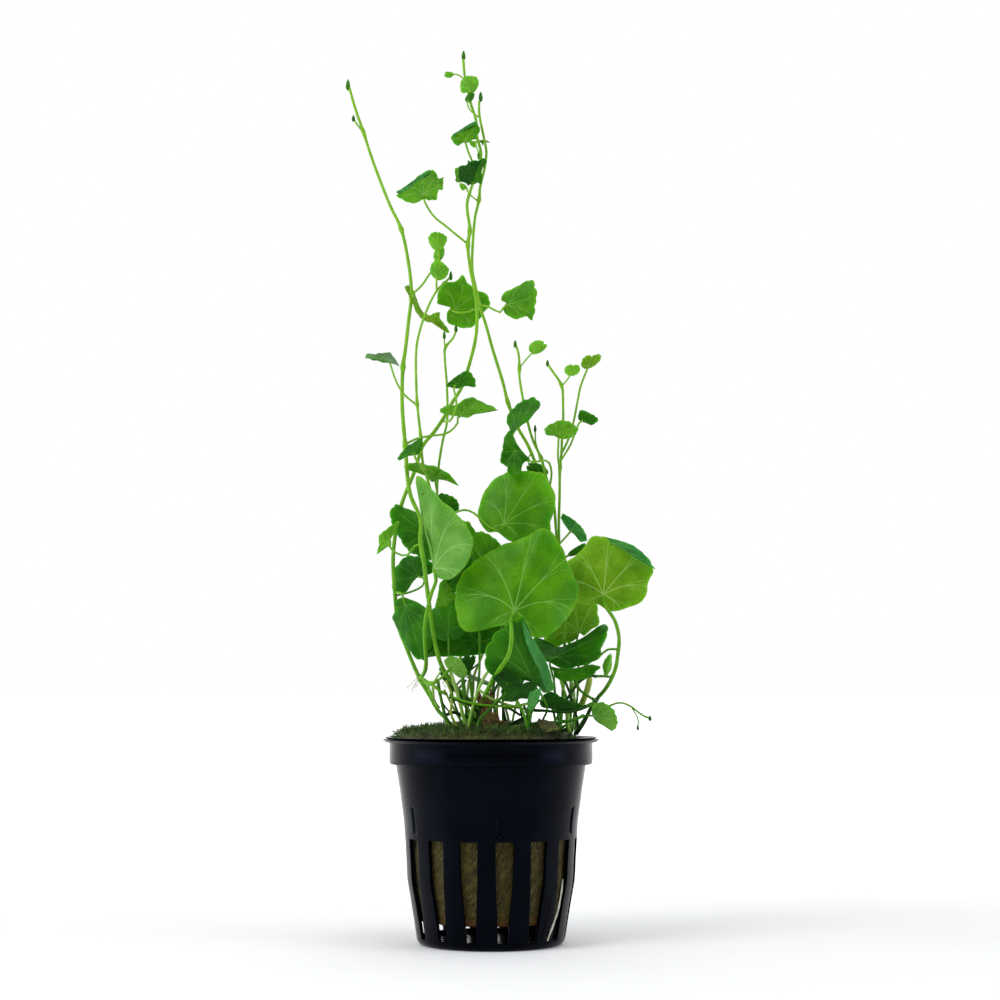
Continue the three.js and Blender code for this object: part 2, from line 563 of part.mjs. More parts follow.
// Leaves, from the top of the plant to the crown
const leaves = {
  leaf_01: {
    joint: [-5.4, 210.4, -3.5], tip: [-5.5, 214.5, -4], left: [-7.9, 212.3, -3], right: [-3.1, 212.6, -3],
    stalk: [[-5.3, 208.3, -2.7], [-5, 206.6, -1.5]], tint: 'lit',
  },
  leaf_02: {
    joint: [-6.5, 197.5, -5], tip: [-7, 201.6, -5], left: [-9.9, 198.8, -5], right: [-2.7, 200.3, -4.5],
    stalk: [[-6.3, 197, -4.6], [-5.7, 195, -3.6], [-4.8, 192.9, -2], [-4.1, 190, -0.2]],
    curl: 0.8, tint: 'lit',
  },
  leaf_03: {
    joint: [-16.9, 183.6, -5], tip: [-15.2, 190.1, -1],
    left: [-23.5, 184.9, -4], right: [-11.8, 187.1, -3],
    stalk: [
      [-15.7, 180.8, -4], [-14, 178.5, -3.4], [-11.6, 176.6, -2.8], [-9.2, 174.6, -2], [-6, 172, -1.2],
    ],
    cup: 1, tint: 'lit',
  },
  leaf_04: {
    joint: [-4.7, 186.9, -2.4], tip: [-4.2, 192.7, -5], left: [-9.1, 190.4, -5], right: [-1.2, 192.2, -4],
    stalk: [[-5.1, 185.6, -1.6], [-5.2, 184.5, -0.2]], cup: -0.8, tint: 'shade',
  },
  leaf_05: {
    joint: [-13.2, 170.4, 1], tip: [-14.1, 175.1, 1], left: [-15.8, 173.1, 1], right: [-11, 173.5, 1],
    stalk: [
      [-12.8, 168.8, 1.2], [-13.5, 166.2, 1.6], [-15, 164.7, 2], [-17.4, 161.2, 3], [-19.7, 159.2, 4],
    ],
    second: {
      joint: [-13.1, 167.6, 1.3], tip: [-12.6, 170.4, 1.2],
      left: [-14.4, 169.1, 1.4], right: [-11.6, 169.4, 1.4],
    },
    cup: 0.4, tint: 'lit',
  },
  leaf_06: {
    joint: [-13.5, 163, -5.4], tip: [-13.5, 167.8, -5.4],
    left: [-15.4, 165.5, -5], right: [-10.4, 165.5, -5],
    stalk: [[-13.6, 161.6, -5], [-13.5, 160.2, -4.1]], cup: 0.4, tint: 'lit',
  },
  leaf_07: {
    joint: [-19.2, 157.8, 3.4], tip: [-10.3, 150.4, 5], left: [-17.6, 152.8, 1], right: [-14, 155.6, 10],
    stalk: [[-19.6, 158.4, 3.6], [-19.8, 158.9, 4]], cup: 0.5, sides: 10, tint: 'yellow',
  },
  leaf_08: {
    joint: [-10, 155.2, 6.5], tip: [-0.1, 157.2, 8], left: [-7.2, 164, 7], right: [-6.2, 150.8, 7],
    stalk: [[-8.4, 154.6, 5], [-5.6, 154.8, 4], [-2.8, 156.1, 3]], cup: 1, tint: 'lit',
  },
  leaf_09: {
    joint: [3.4, 156.4, 0], tip: [11.1, 158.5, -3], left: [6.7, 162.7, -2], right: [6.2, 151.2, 1],
    stalk: [[2.4, 154.7, 0.4], [0.7, 155.3, 1.4], [-1, 156.2, 2.4], [-2.6, 156.4, 3]],
    cup: 0.9, tint: 'lit',
  },
  leaf_10: {
    joint: [-25, 141.8, -2], tip: [-25.5, 144.4, 9], left: [-31, 144, 3], right: [-22.9, 142.2, 5],
    stalk: [
      [-24.8, 141.2, -2.4], [-23.9, 138.4, -2.6], [-22.7, 135.8, -2.8], [-21.1, 133.7, -3], [-18.5, 131.6, -3],
    ],
    cup: 0.5, tint: 'blue',
  },
  leaf_11: {
    joint: [-9.3, 136.1, -2], tip: [-5.7, 140, -2], left: [-10.9, 137.2, -2], right: [-4, 136.7, -2],
    stalk: [
      [-9.2, 135.2, -2.4], [-8.7, 133.3, -3], [-8.6, 131.2, -3.2], [-9.2, 129.4, -3.2],
      [-9.9, 127.8, -2.4], [-11.8, 127.4, 2.4],
    ],
    cup: 0.4, tint: 'shade',
  },
  leaf_12: {
    joint: [-8.4, 128.7, -0.8], tip: [1.6, 130, -1], left: [-4.7, 133.6, 2], right: [-7.2, 127.2, -6],
    stalk: [
      [-8, 127.8, -1], [-8.9, 126.1, -1], [-11.1, 124.4, -0.6], [-14.5, 123.9, 0.2], [-18.2, 123.2, 0.2],
      [-21.1, 121.8, -0.9],
    ],
    cup: 0.6, tint: 'lit',
  },
  leaf_13: {
    joint: [4.9, 123.7, -4], tip: [11.6, 132.4, -3], left: [3.7, 129.2, -2], right: [8.6, 126.6, -5],
    stalk: [
      [6.6, 120.4, -5.4], [9.7, 117.5, -4.6], [13.9, 117.6, -2], [14.9, 115, 0], [14.4, 110.8, 1.8],
    ],
    second: {
      joint: [6.4, 120.6, -5.4], tip: [2.4, 117.2, -7],
      left: [6.8, 116.2, -7.6], right: [3.8, 122.6, -5.6],
      cup: 0.4, sides: 10,
    },
    cup: 0.8, sides: 10, tint: 'shade',
  },
  leaf_16: {
    joint: [16.7, 123.8, -4], tip: [17.5, 127.4, -2.5], left: [13.1, 124.7, -4], right: [21.3, 125.2, -4],
    stalk: [[16.6, 121.6, -3.8], [16.5, 118.8, -2.4], [16.8, 116.4, -0.3]], cup: 0.5, tint: 'lit',
  },
  leaf_17: {
    joint: [24, 140.9, 0], tip: [24.9, 143.7, 0], left: [22.2, 142, 0], right: [27.1, 142.8, 0],
    stalk: [
      [22.2, 136.3, 0.6], [21.3, 132, 1.2], [20.4, 127.4, 1.5], [19.1, 123, 1.5], [17.5, 119.6, 0.2],
    ],
    cup: 0.3, tint: 'yellow',
  },
  leaf_18: {
    joint: [22.2, 127.7, 0.2], tip: [26.5, 127.9, 0.2], left: [23.7, 130.2, 0.2], right: [24.4, 126, 0.2],
    stalk: [[21, 125.3, -0.8], [19.6, 121.6, -1.5], [17.4, 118, -0.2]], cup: 0.3, tint: 'shade',
  },
  leaf_19: {
    joint: [-19.2, 119, -6.5], tip: [-17.3, 123, -5], left: [-23.3, 118.3, -5], right: [-16, 121.8, -5.5],
    stalk: [[-17.9, 117.2, -5.4], [-16.3, 115, -2.9]], cup: 0.4, tint: 'shade',
  },
  leaf_20: {
    joint: [-13.8, 112.6, 0], tip: [-14.1, 116.8, 2], left: [-21.5, 116.3, 0.5], right: [-7.9, 112.1, -1],
    stalk: [[-13.5, 111, 1.5], [-13.3, 108.6, 4]], cup: 0.8, tint: 'lit',
  },
  leaf_21: {
    joint: [-13.5, 88.2, -14], tip: [-19.4, 113.6, -9],
    left: [-17.6, 94.4, -12], right: [-4.4, 95.1, -19],
    stalk: [
      [-14.7, 84.8, -15], [-15.7, 80.6, -15.5], [-16.3, 76.4, -15], [-16.2, 72.6, -13], [-15.9, 68.8, -10],
      [-16.1, 66.2, -7], [-17.3, 64, -2.8],
    ],
    radius: 0.5, cup: 0.5, tint: 'lit',
  },
  leaf_22: {
    joint: [2.2, 100.4, -8], tip: [10.8, 114.8, -5], left: [-3.7, 105.9, -6], right: [12.8, 102.2, -6],
    stalk: [
      [-0.5, 101.2, -8], [-2.8, 103.5, -7.2], [-4.9, 105.1, -6], [-6.9, 105.5, -5], [-8.6, 104.9, -4],
      [-12.2, 103, -1.2],
    ],
    cup: 1.2, tint: 'lit',
  },
  leaf_23: {
    joint: [4.8, 78.2, -17], tip: [13.3, 101.5, -13], left: [-8.6, 83.3, -15], right: [21.8, 84.5, -14],
    stalk: [
      [4.9, 76.4, -17], [4.8, 73.5, -18], [4.2, 69.8, -18], [2.4, 66.8, -16], [0.6, 64.2, -13],
      [-0.8, 61.3, -10.4], [-2.1, 58.6, -8.4], [-3.6, 55.2, -7],
    ],
    radius: 0.55, cup: 2, curl: 0.8, crown: true, tint: 'lit',
  },
  leaf_24: {
    joint: [27.5, 82.9, -6], tip: [28.8, 98.7, -3], left: [16.9, 86.2, -7], right: [39.1, 87, -5],
    stalk: [
      [28.9, 80.6, -7], [30.4, 78.2, -7.4], [31.4, 74.1, -7.4], [31.1, 70.1, -7], [30.4, 66.2, -6.4],
      [28.4, 62.1, -4.4], [25.6, 58.8, -0.8],
    ],
    radius: 0.5, cup: 1.2, curl: 1, tint: 'lit',
  },
  leaf_25: {
    joint: [21.1, 74.3, 2], tip: [23.8, 82.3, 2], left: [15, 76.5, 2], right: [26.8, 77.9, 2],
    stalk: [[21.3, 70.4, 2.6], [21.4, 63.7, 3.4], [20.6, 53, 3.4]],
    crown: soilLevel, cup: 0.8, tint: 'yellow',
  },
  leaf_26: {
    joint: [14.4, 68.6, -6], tip: [28.7, 75.5, -1], left: [18.1, 72.8, -2], right: [19.8, 64.2, -6.4],
    stalk: [[15.3, 64, -5.6], [15.9, 58.9, -4], [16.6, 53.4, -3.2]],
    cup: 0.6, crown: true, tint: 'shade',
  },
  leaf_27: {
    joint: [10.5, 62, -17], tip: [7.4, 78.9, -21], left: [2.2, 66.7, -20], right: [14.2, 68.1, -16],
    stalk: [[11.6, 61.2, -16.6], [12.9, 58.9, -15], [13.8, 56.5, -12.6], [12.7, 53.9, -10.4]],
    cup: 0.8, crown: true, tint: 'lit',
  },
  leaf_28: {
    joint: [4.2, 62.4, -12], tip: [2.9, 65.9, -12], left: [0.5, 63.7, -12], right: [7.6, 63.5, -12],
    stalk: [[5.5, 59.9, -11.2], [6.8, 58.2, -9.6], [7.3, 56, -8], [7.8, 53, -7.4]],
    cup: 0.4, crown: true, tint: 'shade',
  },
  leaf_29: {
    joint: [12.2, 58.9, -10.4], tip: [22.1, 57.7, -9.4],
    left: [15.9, 61.3, -9.6], right: [15.9, 56.9, -10.4],
    stalk: [[11, 57.8, -11.6], [9.5, 54.4, -11.6]], cup: 0.4, crown: true, tint: 'lit',
  },
  leaf_30: {
    joint: [24.3, 55.3, -8], tip: [29.8, 52, -8], left: [27.6, 58.4, -8], right: [26.7, 52.8, -8],
    stalk: [[21.4, 54.4, -8], [19.1, 53.9, -8], [16.2, 53.4, -8]],
    cup: 0.5, crown: true, tint: 'lit',
  },
  leaf_31: {
    joint: [-15, 99.2, -1], tip: [-24.6, 102.9, 0], left: [-18.9, 93.5, -2], right: [-21.2, 106.6, 1],
    stalk: [[-14, 98.8, 0], [-12.4, 98.4, 4]], cup: 0.6, tint: 'shade',
  },
  leaf_32: {
    joint: [-25.1, 96.5, -4], tip: [-26.8, 100.2, -4], left: [-28.1, 94.9, -4], right: [-22.7, 102.4, -4],
    stalk: [
      [-23.7, 95.1, -4.5], [-21.3, 94.2, -5.5], [-19.9, 94.8, -6.4], [-19.2, 96.3, -7.2], [-17.5, 97, -8],
    ],
    cup: 0.4, tint: 'lit',
  },
  leaf_33: {
    joint: [-17.2, 89, 3.4], tip: [-23.4, 89.4, 5], left: [-21.9, 84.8, 3], right: [-20.2, 93.8, 5],
    stalk: [[-16.4, 88.4, 2.2], [-16.8, 86.8, 1], [-20, 85.2, 0], [-23.5, 84.4, -0.9]],
    cup: 0.5, tint: 'shade',
  },
  leaf_34: {
    joint: [-21.6, 84, -5], tip: [-17.4, 68.4, -7], left: [-14.5, 77.9, -8], right: [-24.3, 78.9, -4],
    stalk: [[-22.2, 85, -3.5], [-23.5, 85.2, -1.2]], cup: 0.6, tint: 'shade',
  },
  leaf_35: {
    joint: [-10.4, 74, -8], tip: [-11.5, 83.3, -7], left: [-15, 77.2, -7], right: [-5.6, 77.9, -9],
    stalk: [[-10.3, 70.1, -7.4], [-9.8, 64, -5], [-9.2, 58.9, -4], [-7.4, 53.6, -4]],
    cup: 0.7, crown: true, tint: 'shade',
  },
  leaf_36: {
    joint: [-1.2, 73.3, -3], tip: [-14.7, 70.6, -3], left: [-6.4, 69.6, -3], right: [-5.2, 76.4, -3],
    stalk: [[-0.3, 71, -2.4], [0.6, 63.7, -1.6], [0.8, 53.5, -0.6]], cup: 0.6, crown: true, tint: 'shade',
  },
  leaf_37: {
    joint: [-9.9, 66.8, -14.6], tip: [-6.6, 67.6, -14.6],
    left: [-9.5, 69.5, -14.4], right: [-7.6, 64.7, -14.6],
    stalk: [[-11.8, 64.7, -14.2], [-13.4, 63.2, -11], [-15.2, 62.5, -7], [-17, 63.5, -3]],
    cup: 0.3, tint: 'yellow',
  },
  leaf_38: {
    joint: [-7.1, 64.7, -12], tip: [-5.1, 69.3, -12], left: [-7.8, 67.6, -12], right: [-4.4, 66.7, -12],
    stalk: [[-6.9, 61.5, -11.8], [-6.2, 58, -11], [-6.2, 53.8, -9]], cup: 0.3, crown: true, tint: 'lit',
  },
  leaf_39: {
    joint: [-0.7, 63, -3.6], tip: [-5.6, 64.7, -2.6], left: [-3, 63.2, -5.6], right: [-3, 64.6, -0.4],
    stalk: [[0.2, 59.6, -4.4], [1.6, 53.8, -5.6]], cup: 0.3, crown: true, tint: 'shade',
  },
  leaf_42: {
    joint: [-3.9, 91.6, -6], tip: [-6.4, 102.7, -6], left: [-6.8, 95.5, -6], right: [-1, 95.5, -6],
    stalk: [[-3.4, 84, -5], [-2.8, 72, -7], [-3, 64, -8.6], [-4, 58, -9.4], [-4.6, 54, -9]],
    cup: 0.5, crown: true, tint: 'shade',
  },
  leaf_43: {
    joint: [1, 92.5, -9.6], tip: [-2.6, 100.2, -9], left: [-4, 96, -9], right: [3.5, 98, -9],
    stalk: [[2.2, 84, -9], [2.8, 72, -7], [2.9, 62, -4], [2.9, 53.6, -3]],
    cup: 0.5, crown: true, tint: 'yellow',
  },
  leaf_44: {
    joint: [-12.1, 104.9, 1.6], tip: [-9.6, 109.1, 1.6],
    left: [-13, 107.5, 1.6], right: [-7.9, 105.9, 1.6],
    stalk: [[-12.8, 103.8, 2.2], [-13, 102.6, 4]], cup: 0.3, tint: 'shade',
  },
  leaf_45: {
    joint: [19.7, 100.3, 3], tip: [21.1, 102.4, 3], left: [17.5, 104.1, 3], right: [23.4, 97.7, 3],
    stalk: [[18.4, 98.8, 2.4], [16.8, 97.1, 0.3]], cup: 0.3, tint: 'lit',
  },
  leaf_46: {
    joint: [18.9, 94.1, -0.6], tip: [23.3, 97, -1], left: [19.8, 97, -1], right: [22.6, 93.8, -1],
    stalk: [[17.9, 93.7, -0.2], [16.9, 93.3, 0.4]], cup: 0.3, tint: 'shade',
  },
  leaf_48: {
    joint: [9.8, 56.9, -20], tip: [11, 61.1, -20], left: [8.9, 59, -19.4], right: [11.9, 59.4, -19.4],
    stalk: [[9.5, 55.4, -18.6], [9.2, 53.6, -16]], cup: -0.6, crown: true, tint: 'lit',
  },
  leaf_49: {
    joint: [15.9, 65.6, -9], tip: [26, 66.7, -8], left: [19.8, 66.9, -8.6], right: [20.6, 63.7, -9.4],
    stalk: [[15.4, 63.6, -8.6], [15.8, 58.9, -7.6], [16.6, 53.4, -7]], cup: 0.3, crown: true, tint: 'shade',
  },
};

// Dead pieces at the crown, and one root that hangs out of a slot
const deadLeaves = {
  brown_sheath: {
    joint: [0.2, 52.2, -11], tip: [0.4, 60.8, -12.6],
    left: [-3.8, 53.4, -11.6], right: [4.4, 53.4, -11.4],
    stalk: [[0.2, 51.6, -10.8]], cup: 0.6, crown: true, tint: 'dead',
  },
  dead_leaf: {
    joint: [12.2, 53.8, -13.2], tip: [15, 51.6, -17.2], left: [15.6, 53.3, -15], right: [12, 52.1, -15.8],
    stalk: [[11.6, 54.2, -12.2]], cup: 0.2, crown: true, tint: 'dead',
  },
};
const hangingRoot = [
  [17.4, 15.4, -10.8], [17.2, 13, -12.4], [16.8, 10.5, -13.4], [16.2, 7.7, -13.4], [15.2, 4.7, -13.5],
  [13.7, 0.7, -13.9],
];

const plant = new THREE.Group();
const ground = mossBody(gap).add(turned(plugProfile.map(([r, z]) => [r, z + gap]), 20, 0));
const stemRoom = join(Object.values(stems).map((stem) => stemBody(stem, gap)));

plant.add(toMesh('pot', potBody(), colours.pot, 0.35));
plant.add(toMesh('wool_plug', turned(plugProfile, 18, 0), colours.wool, 0.95));
plant.add(toMesh('moss', mossBody(), colours.moss, 0.9));

for (const [name, stem] of Object.entries(stems)) {
  const leaflets = (stem.leaflets ?? []).map(leafBody);
  plant.add(toMesh(name, join([stemBody(stem), ...leaflets]).subtract(ground), colours.stem));
}
for (const [name, runner] of Object.entries(runners)) {
  plant.add(toMesh(name, stemBody(runner).subtract(stemRoom), colours.lowStem));
}
for (const [name, leaf] of Object.entries({ ...leaves, ...deadLeaves })) {
  const body = leafBody({ ...leaf, rim: outlines[name] }).subtract(stemRoom).subtract(ground);
  plant.add(toMesh(name, body, colours[leaf.tint]));
}
plant.add(toMesh('hanging_root', tube(hangingRoot.map(place), 0.3, { sides: 4 }), colours.root));

export default plant;
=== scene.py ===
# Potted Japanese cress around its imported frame: pot, wool plug, moss, stems, leaves, crown and roots.
# Lengths are typed in millimetres and become metres where a mesh is made.
import math
import random

import bmesh
import bpy
import numpy as np
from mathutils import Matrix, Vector


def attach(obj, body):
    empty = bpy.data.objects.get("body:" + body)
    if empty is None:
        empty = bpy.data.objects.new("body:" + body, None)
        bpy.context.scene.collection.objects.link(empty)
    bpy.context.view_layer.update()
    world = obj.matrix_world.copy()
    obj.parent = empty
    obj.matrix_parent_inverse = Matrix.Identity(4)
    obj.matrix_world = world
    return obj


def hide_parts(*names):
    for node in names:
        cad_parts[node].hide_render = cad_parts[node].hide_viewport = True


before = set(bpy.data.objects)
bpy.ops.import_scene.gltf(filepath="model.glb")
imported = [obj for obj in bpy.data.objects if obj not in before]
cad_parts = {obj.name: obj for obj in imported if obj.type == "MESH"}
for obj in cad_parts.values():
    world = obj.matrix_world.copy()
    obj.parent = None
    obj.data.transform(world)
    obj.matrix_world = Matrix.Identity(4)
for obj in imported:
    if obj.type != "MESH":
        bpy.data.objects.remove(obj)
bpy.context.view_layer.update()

mm = 0.001
# Where the plant is seen from: place in mm, upward tilt in degrees, lens and sensor in mm
eye = {"x": 2.2, "z": 63.5, "distance": 550.0, "tilt": 4.62, "lens": 80.6, "sensor": 36}
weld = 0.001  # points closer than this many mm are one
rng = random.Random(7)


def place(point):  # (x, z, depth) on the front elevation, moved along the line of sight from the eye
    x, z, depth = point
    spread = 1 + depth / eye["distance"]
    return Vector((eye["x"] + (x - eye["x"]) * spread, depth, eye["z"] + (z - eye["z"]) * spread))


def placed(points):
    return [tuple(place(p)) for p in points]


def newPiece(name, verts, faces, material, smooth=True, uvs=None):
    mesh = bpy.data.meshes.new(name)
    mesh.from_pydata([tuple(c * mm for c in v) for v in verts], [], faces)
    if uvs is not None:
        layer = mesh.uv_layers.new(name="leafMap")
        layer.data.foreach_set("uv", np.asarray(uvs, np.float32).ravel())
    if smooth:
        mesh.shade_smooth()
    mesh.materials.append(material)
    piece = bpy.data.objects.new(name, mesh)
    bpy.context.scene.collection.objects.link(piece)
    return piece


def cleaned(piece):  # loose and doubled points dropped, faces turned outwards
    mesh = bmesh.new()
    mesh.from_mesh(piece.data)
    bmesh.ops.delete(mesh, geom=[v for v in mesh.verts if not v.link_faces], context="VERTS")
    bmesh.ops.remove_doubles(mesh, verts=mesh.verts, dist=weld * mm)
    bmesh.ops.recalc_face_normals(mesh, faces=mesh.faces)
    mesh.to_mesh(piece.data)
    mesh.free()
    return piece


def own(piece, slotName, *nodes):  # the piece rides on the one body and stands for its solids
    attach(piece, "root")
    if nodes:
        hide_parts(*nodes)
    return piece


def joined(name, pieces):  # several meshes made one piece
    bpy.ops.object.select_all(action="DESELECT")
    for other in pieces:
        other.select_set(True)
    bpy.context.view_layer.objects.active = pieces[0]
    bpy.ops.object.join()
    pieces[0].name = name
    pieces[0].select_set(False)
    return pieces[0]


def baked(source, name):  # the modifiers' result as a plain mesh
    graph = bpy.context.evaluated_depsgraph_get()
    mesh = bpy.data.meshes.new_from_object(source.evaluated_get(graph))
    mesh.name = name
    piece = bpy.data.objects.new(name, mesh)
    bpy.context.scene.collection.objects.link(piece)
    bpy.data.objects.remove(source)
    return piece


# Colour and node helpers
def linear(code):
    out = []
    for k in (1, 3, 5):
        c = int(code[k:k + 2], 16) / 255
        out.append(c / 12.92 if c <= 0.04045 else ((c + 0.055) / 1.055) ** 2.4)
    return (*out, 1.0)


def add(tree, kind, settings=None, links=None, **values):
    node = tree.nodes.new(kind)
    for key, value in (settings or {}).items():
        setattr(node, key, value)
    for key, value in values.items():
        node.inputs[key].default_value = value
    for key, source in (links or {}).items():
        tree.links.new(source, node.inputs[key])
    return node


def startMaterial(name, roughness, ior=1.45, flesh=None, **sockets):  # flesh: weight, radius and scale in mm
    material = bpy.data.materials.new(name)
    material.use_nodes = True
    tree = material.node_tree
    shader = tree.nodes["Principled BSDF"]
    values = {"Roughness": roughness, "IOR": ior} | sockets
    if flesh:
        weight, radius, scale = flesh
        values |= {"Subsurface Weight": weight, "Subsurface Radius": radius, "Subsurface Scale": scale * mm}
    fill(tree, [shader.inputs[key.replace("_", " ")] for key in values], values.values())
    spot = add(tree, "ShaderNodeTexCoord").outputs["Object"]
    return material, tree, shader, spot


def fill(tree, sockets, values):  # each value is a link, a colour code or a plain number
    for socket, value in zip(sockets, values):
        if isinstance(value, bpy.types.NodeSocket):
            tree.links.new(value, socket)
        elif value is not None:
            socket.default_value = linear(value) if isinstance(value, str) else value


def mixColour(tree, factor, a, b):
    node = add(tree, "ShaderNodeMix", {"data_type": "RGBA"})
    fill(tree, (node.inputs[0], node.inputs[6], node.inputs[7]), (factor, a, b))
    return node.outputs[2]


def maths(tree, operation, a, b=None, clamp=False):
    node = add(tree, "ShaderNodeMath", {"operation": operation, "use_clamp": clamp})
    fill(tree, node.inputs, (a, b))
    return node.outputs[0]


def band(tree, value, low, high, outLow=0.0, outHigh=1.0, smooth=True):
    node = add(tree, "ShaderNodeMapRange", {"interpolation_type": "SMOOTHSTEP" if smooth else "LINEAR"})
    fill(tree, node.inputs, (value, low, high, outLow, outHigh))
    return node.outputs[0]


def noiseOn(tree, vector, sizeMm, detail=3.0, roughness=0.55):  # pattern size in real millimetres
    return add(tree, "ShaderNodeTexNoise", links={"Vector": vector}, Scale=1 / (sizeMm * mm), Detail=detail,
               Roughness=roughness).outputs["Fac"]


def heightOf(tree, spot):
    return add(tree, "ShaderNodeSeparateXYZ", links={"Vector": spot}).outputs["Z"]


def paint(tree, shader, colour):
    tree.links.new(colour, shader.inputs["Base Color"])


def bumpInto(tree, shader, height, strength, distanceMm):
    node = add(tree, "ShaderNodeBump", links={"Height": height}, Strength=strength, Distance=distanceMm * mm)
    tree.links.new(node.outputs[0], shader.inputs["Normal"])


# Pot plastic: black polypropylene, injection moulded. Semi gloss, with a faint
# flow ripple and a slightly duller skin where it was handled. Its reflections carry a painted blue tint.
def mouldedPolypropylene():
    material, tree, shader, spot = startMaterial("mouldedPolypropylene", 0.27, 1.49, Specular_IOR_Level=0.08,
                                                 Specular_Tint="#a4b3e0")
    cloud = noiseOn(tree, spot, 9.0, 4)
    paint(tree, shader, mixColour(tree, band(tree, cloud, 0.35, 0.7), "#010203", "#04060a"))
    tree.links.new(band(tree, cloud, 0.3, 0.75, 0.2, 0.3), shader.inputs["Roughness"])
    bumpInto(tree, shader, noiseOn(tree, spot, 1.4, 2), 0.12, 0.05)
    return material


# Mineral wool: spun fibres gone olive with algae. Matt, streaked, brown at the foot.
def spunWool():
    material, tree, shader, spot = startMaterial("spunWool", 0.95, 1.5)
    slanted = add(tree, "ShaderNodeMapping", {"vector_type": "TEXTURE"}, {"Vector": spot},
                  Rotation=(0.0, 0.5, 0.0), Scale=(1.0, 1.0, 5.0))
    fibre = noiseOn(tree, slanted.outputs[0], 0.4, 5, 0.65)
    cloud = noiseOn(tree, spot, 5.0, 3)
    shade = mixColour(tree, band(tree, fibre, 0.32, 0.7), "#1d1a05", "#665a20")
    shade = mixColour(tree, band(tree, cloud, 0.45, 0.75, 0.0, 0.6), shade, "#453608")
    foot = band(tree, heightOf(tree, spot), 9 * mm, 5 * mm, 0.0, 0.7)
    paint(tree, shader, mixColour(tree, foot, shade, "#6b3f12"))
    bumpInto(tree, shader, fibre, 0.8, 0.35)
    return material


# Moss: living leafy strands, matt, dark inside and fresher at the tips.
def livingMoss():
    material, tree, shader, spot = startMaterial("livingMoss", 0.7, 1.4, (0.12, (0.3, 0.6, 0.1), 0.5))
    strand = add(tree, "ShaderNodeAttribute", {"attribute_name": "strandTone"}).outputs["Fac"]
    shade = mixColour(tree, band(tree, noiseOn(tree, spot, 4.0, 3), 0.35, 0.7), "#2a3a12", "#4c6a20")
    shade = mixColour(tree, band(tree, strand, 0.55, 1.0, 0.0, 0.8), shade, "#86a83c")
    paint(tree, shader, mixColour(tree, band(tree, strand, 0.16, 0.0, 0.0, 0.7), shade, "#4a3c18"))
    return material


# Fresh stem: smooth juicy skin, lit through. Deeper green low down and pale at the top: painted shade below,
# painted light above.
def freshStem(name, low, high, fromZ, toZ):
    material, tree, shader, spot = startMaterial(name, 0.38, 1.4, (0.3, (0.5, 1.0, 0.15), 0.5),
                                                 Specular_IOR_Level=0.18)
    # painted shade: the colour darkens from toZ down to fromZ
    rise = band(tree, heightOf(tree, spot), fromZ * mm, toZ * mm)
    cloud = band(tree, noiseOn(tree, spot, 3.0, 3), 0.3, 0.7, -0.25, 0.25)
    shade = mixColour(tree, maths(tree, "ADD", rise, cloud, True), low, high)
    streak = noiseOn(tree, spot, 0.5, 2)
    paint(tree, shader, mixColour(tree, band(tree, streak, 0.5, 0.8, 0.0, 0.12), shade, "#b4d873"))
    bumpInto(tree, shader, streak, 0.1, 0.04)
    return material


# Sizes are shares of the blade's radius, but for the net's cells in mm
leafLook = {"veins": 7, "veinWidth": 0.022, "forkStart": 0.42, "forkSpread": 0.35, "netSize": 1.5,
            "heart": 0.1}


# Leaf blade: thin living tissue, waxy skin. Pale forked veins, a fine net between
# them, small dark specks, and light that comes through.
def leafTissue(name, dark, light, vein, roughness=0.42):
    material, tree, shader, spot = startMaterial(name, roughness, 1.42, (0.35, (0.45, 1.0, 0.08), 0.6),
                                                 Specular_IOR_Level=0.14)

    def times(a, b):
        return maths(tree, "MULTIPLY", a, b)

    rings = add(tree, "ShaderNodeUVMap", {"uv_map": "leafMap"}).outputs[0]
    marks = add(tree, "ShaderNodeSeparateXYZ", links={"Vector": rings})
    turn, out = marks.outputs["X"], marks.outputs["Y"]
    count, forkStart, thin = leafLook["veins"], leafLook["forkStart"], leafLook["veinWidth"]
    sector = maths(tree, "ADD", times(turn, float(count)), 0.5)  # none in the notch
    arc = times(out, 2 * math.pi / count)
    width = band(tree, out, 0.0, 1.0, thin, thin * 0.3, False)

    def ridge(shift, widen):
        away = maths(tree, "PINGPONG", maths(tree, "ADD", sector, shift), 0.5)
        return band(tree, maths(tree, "DIVIDE", times(away, arc), times(width, widen)), 1.0, 0.25)

    past = maths(tree, "MAXIMUM", maths(tree, "SUBTRACT", out, forkStart), 0.0)
    spread = times(past, leafLook["forkSpread"])
    forks = maths(tree, "MAXIMUM", ridge(spread, 0.7), ridge(times(spread, -1.0), 0.7))
    forks = times(forks, band(tree, out, forkStart, forkStart + 0.12))
    net = add(tree, "ShaderNodeTexVoronoi", {"feature": "DISTANCE_TO_EDGE"}, {"Vector": spot},
              Scale=1 / (leafLook["netSize"] * mm))
    mesh = band(tree, net.outputs["Distance"], 0.1, 0.0)
    veins = maths(tree, "MAXIMUM", ridge(0.0, 1.0), times(forks, 0.75))
    shade = mixColour(tree, band(tree, noiseOn(tree, spot, 6.0, 3), 0.32, 0.7), dark, light)
    shade = mixColour(tree, times(mesh, 0.08), shade, vein)
    shade = mixColour(tree, times(veins, 0.62), shade, vein)
    speck = band(tree, noiseOn(tree, spot, 0.9, 1), 0.74, 0.8, 0.0, 0.75)
    paint(tree, shader, mixColour(tree, speck, shade, "#16290a"))
    gloss = band(tree, noiseOn(tree, spot, 2.5, 2), 0.3, 0.7, roughness - 0.07, roughness + 0.1)
    tree.links.new(gloss, shader.inputs["Roughness"])
    bumpInto(tree, shader, maths(tree, "SUBTRACT", times(mesh, 0.2), times(veins, 0.9)), 0.3, 0.08)
    return material


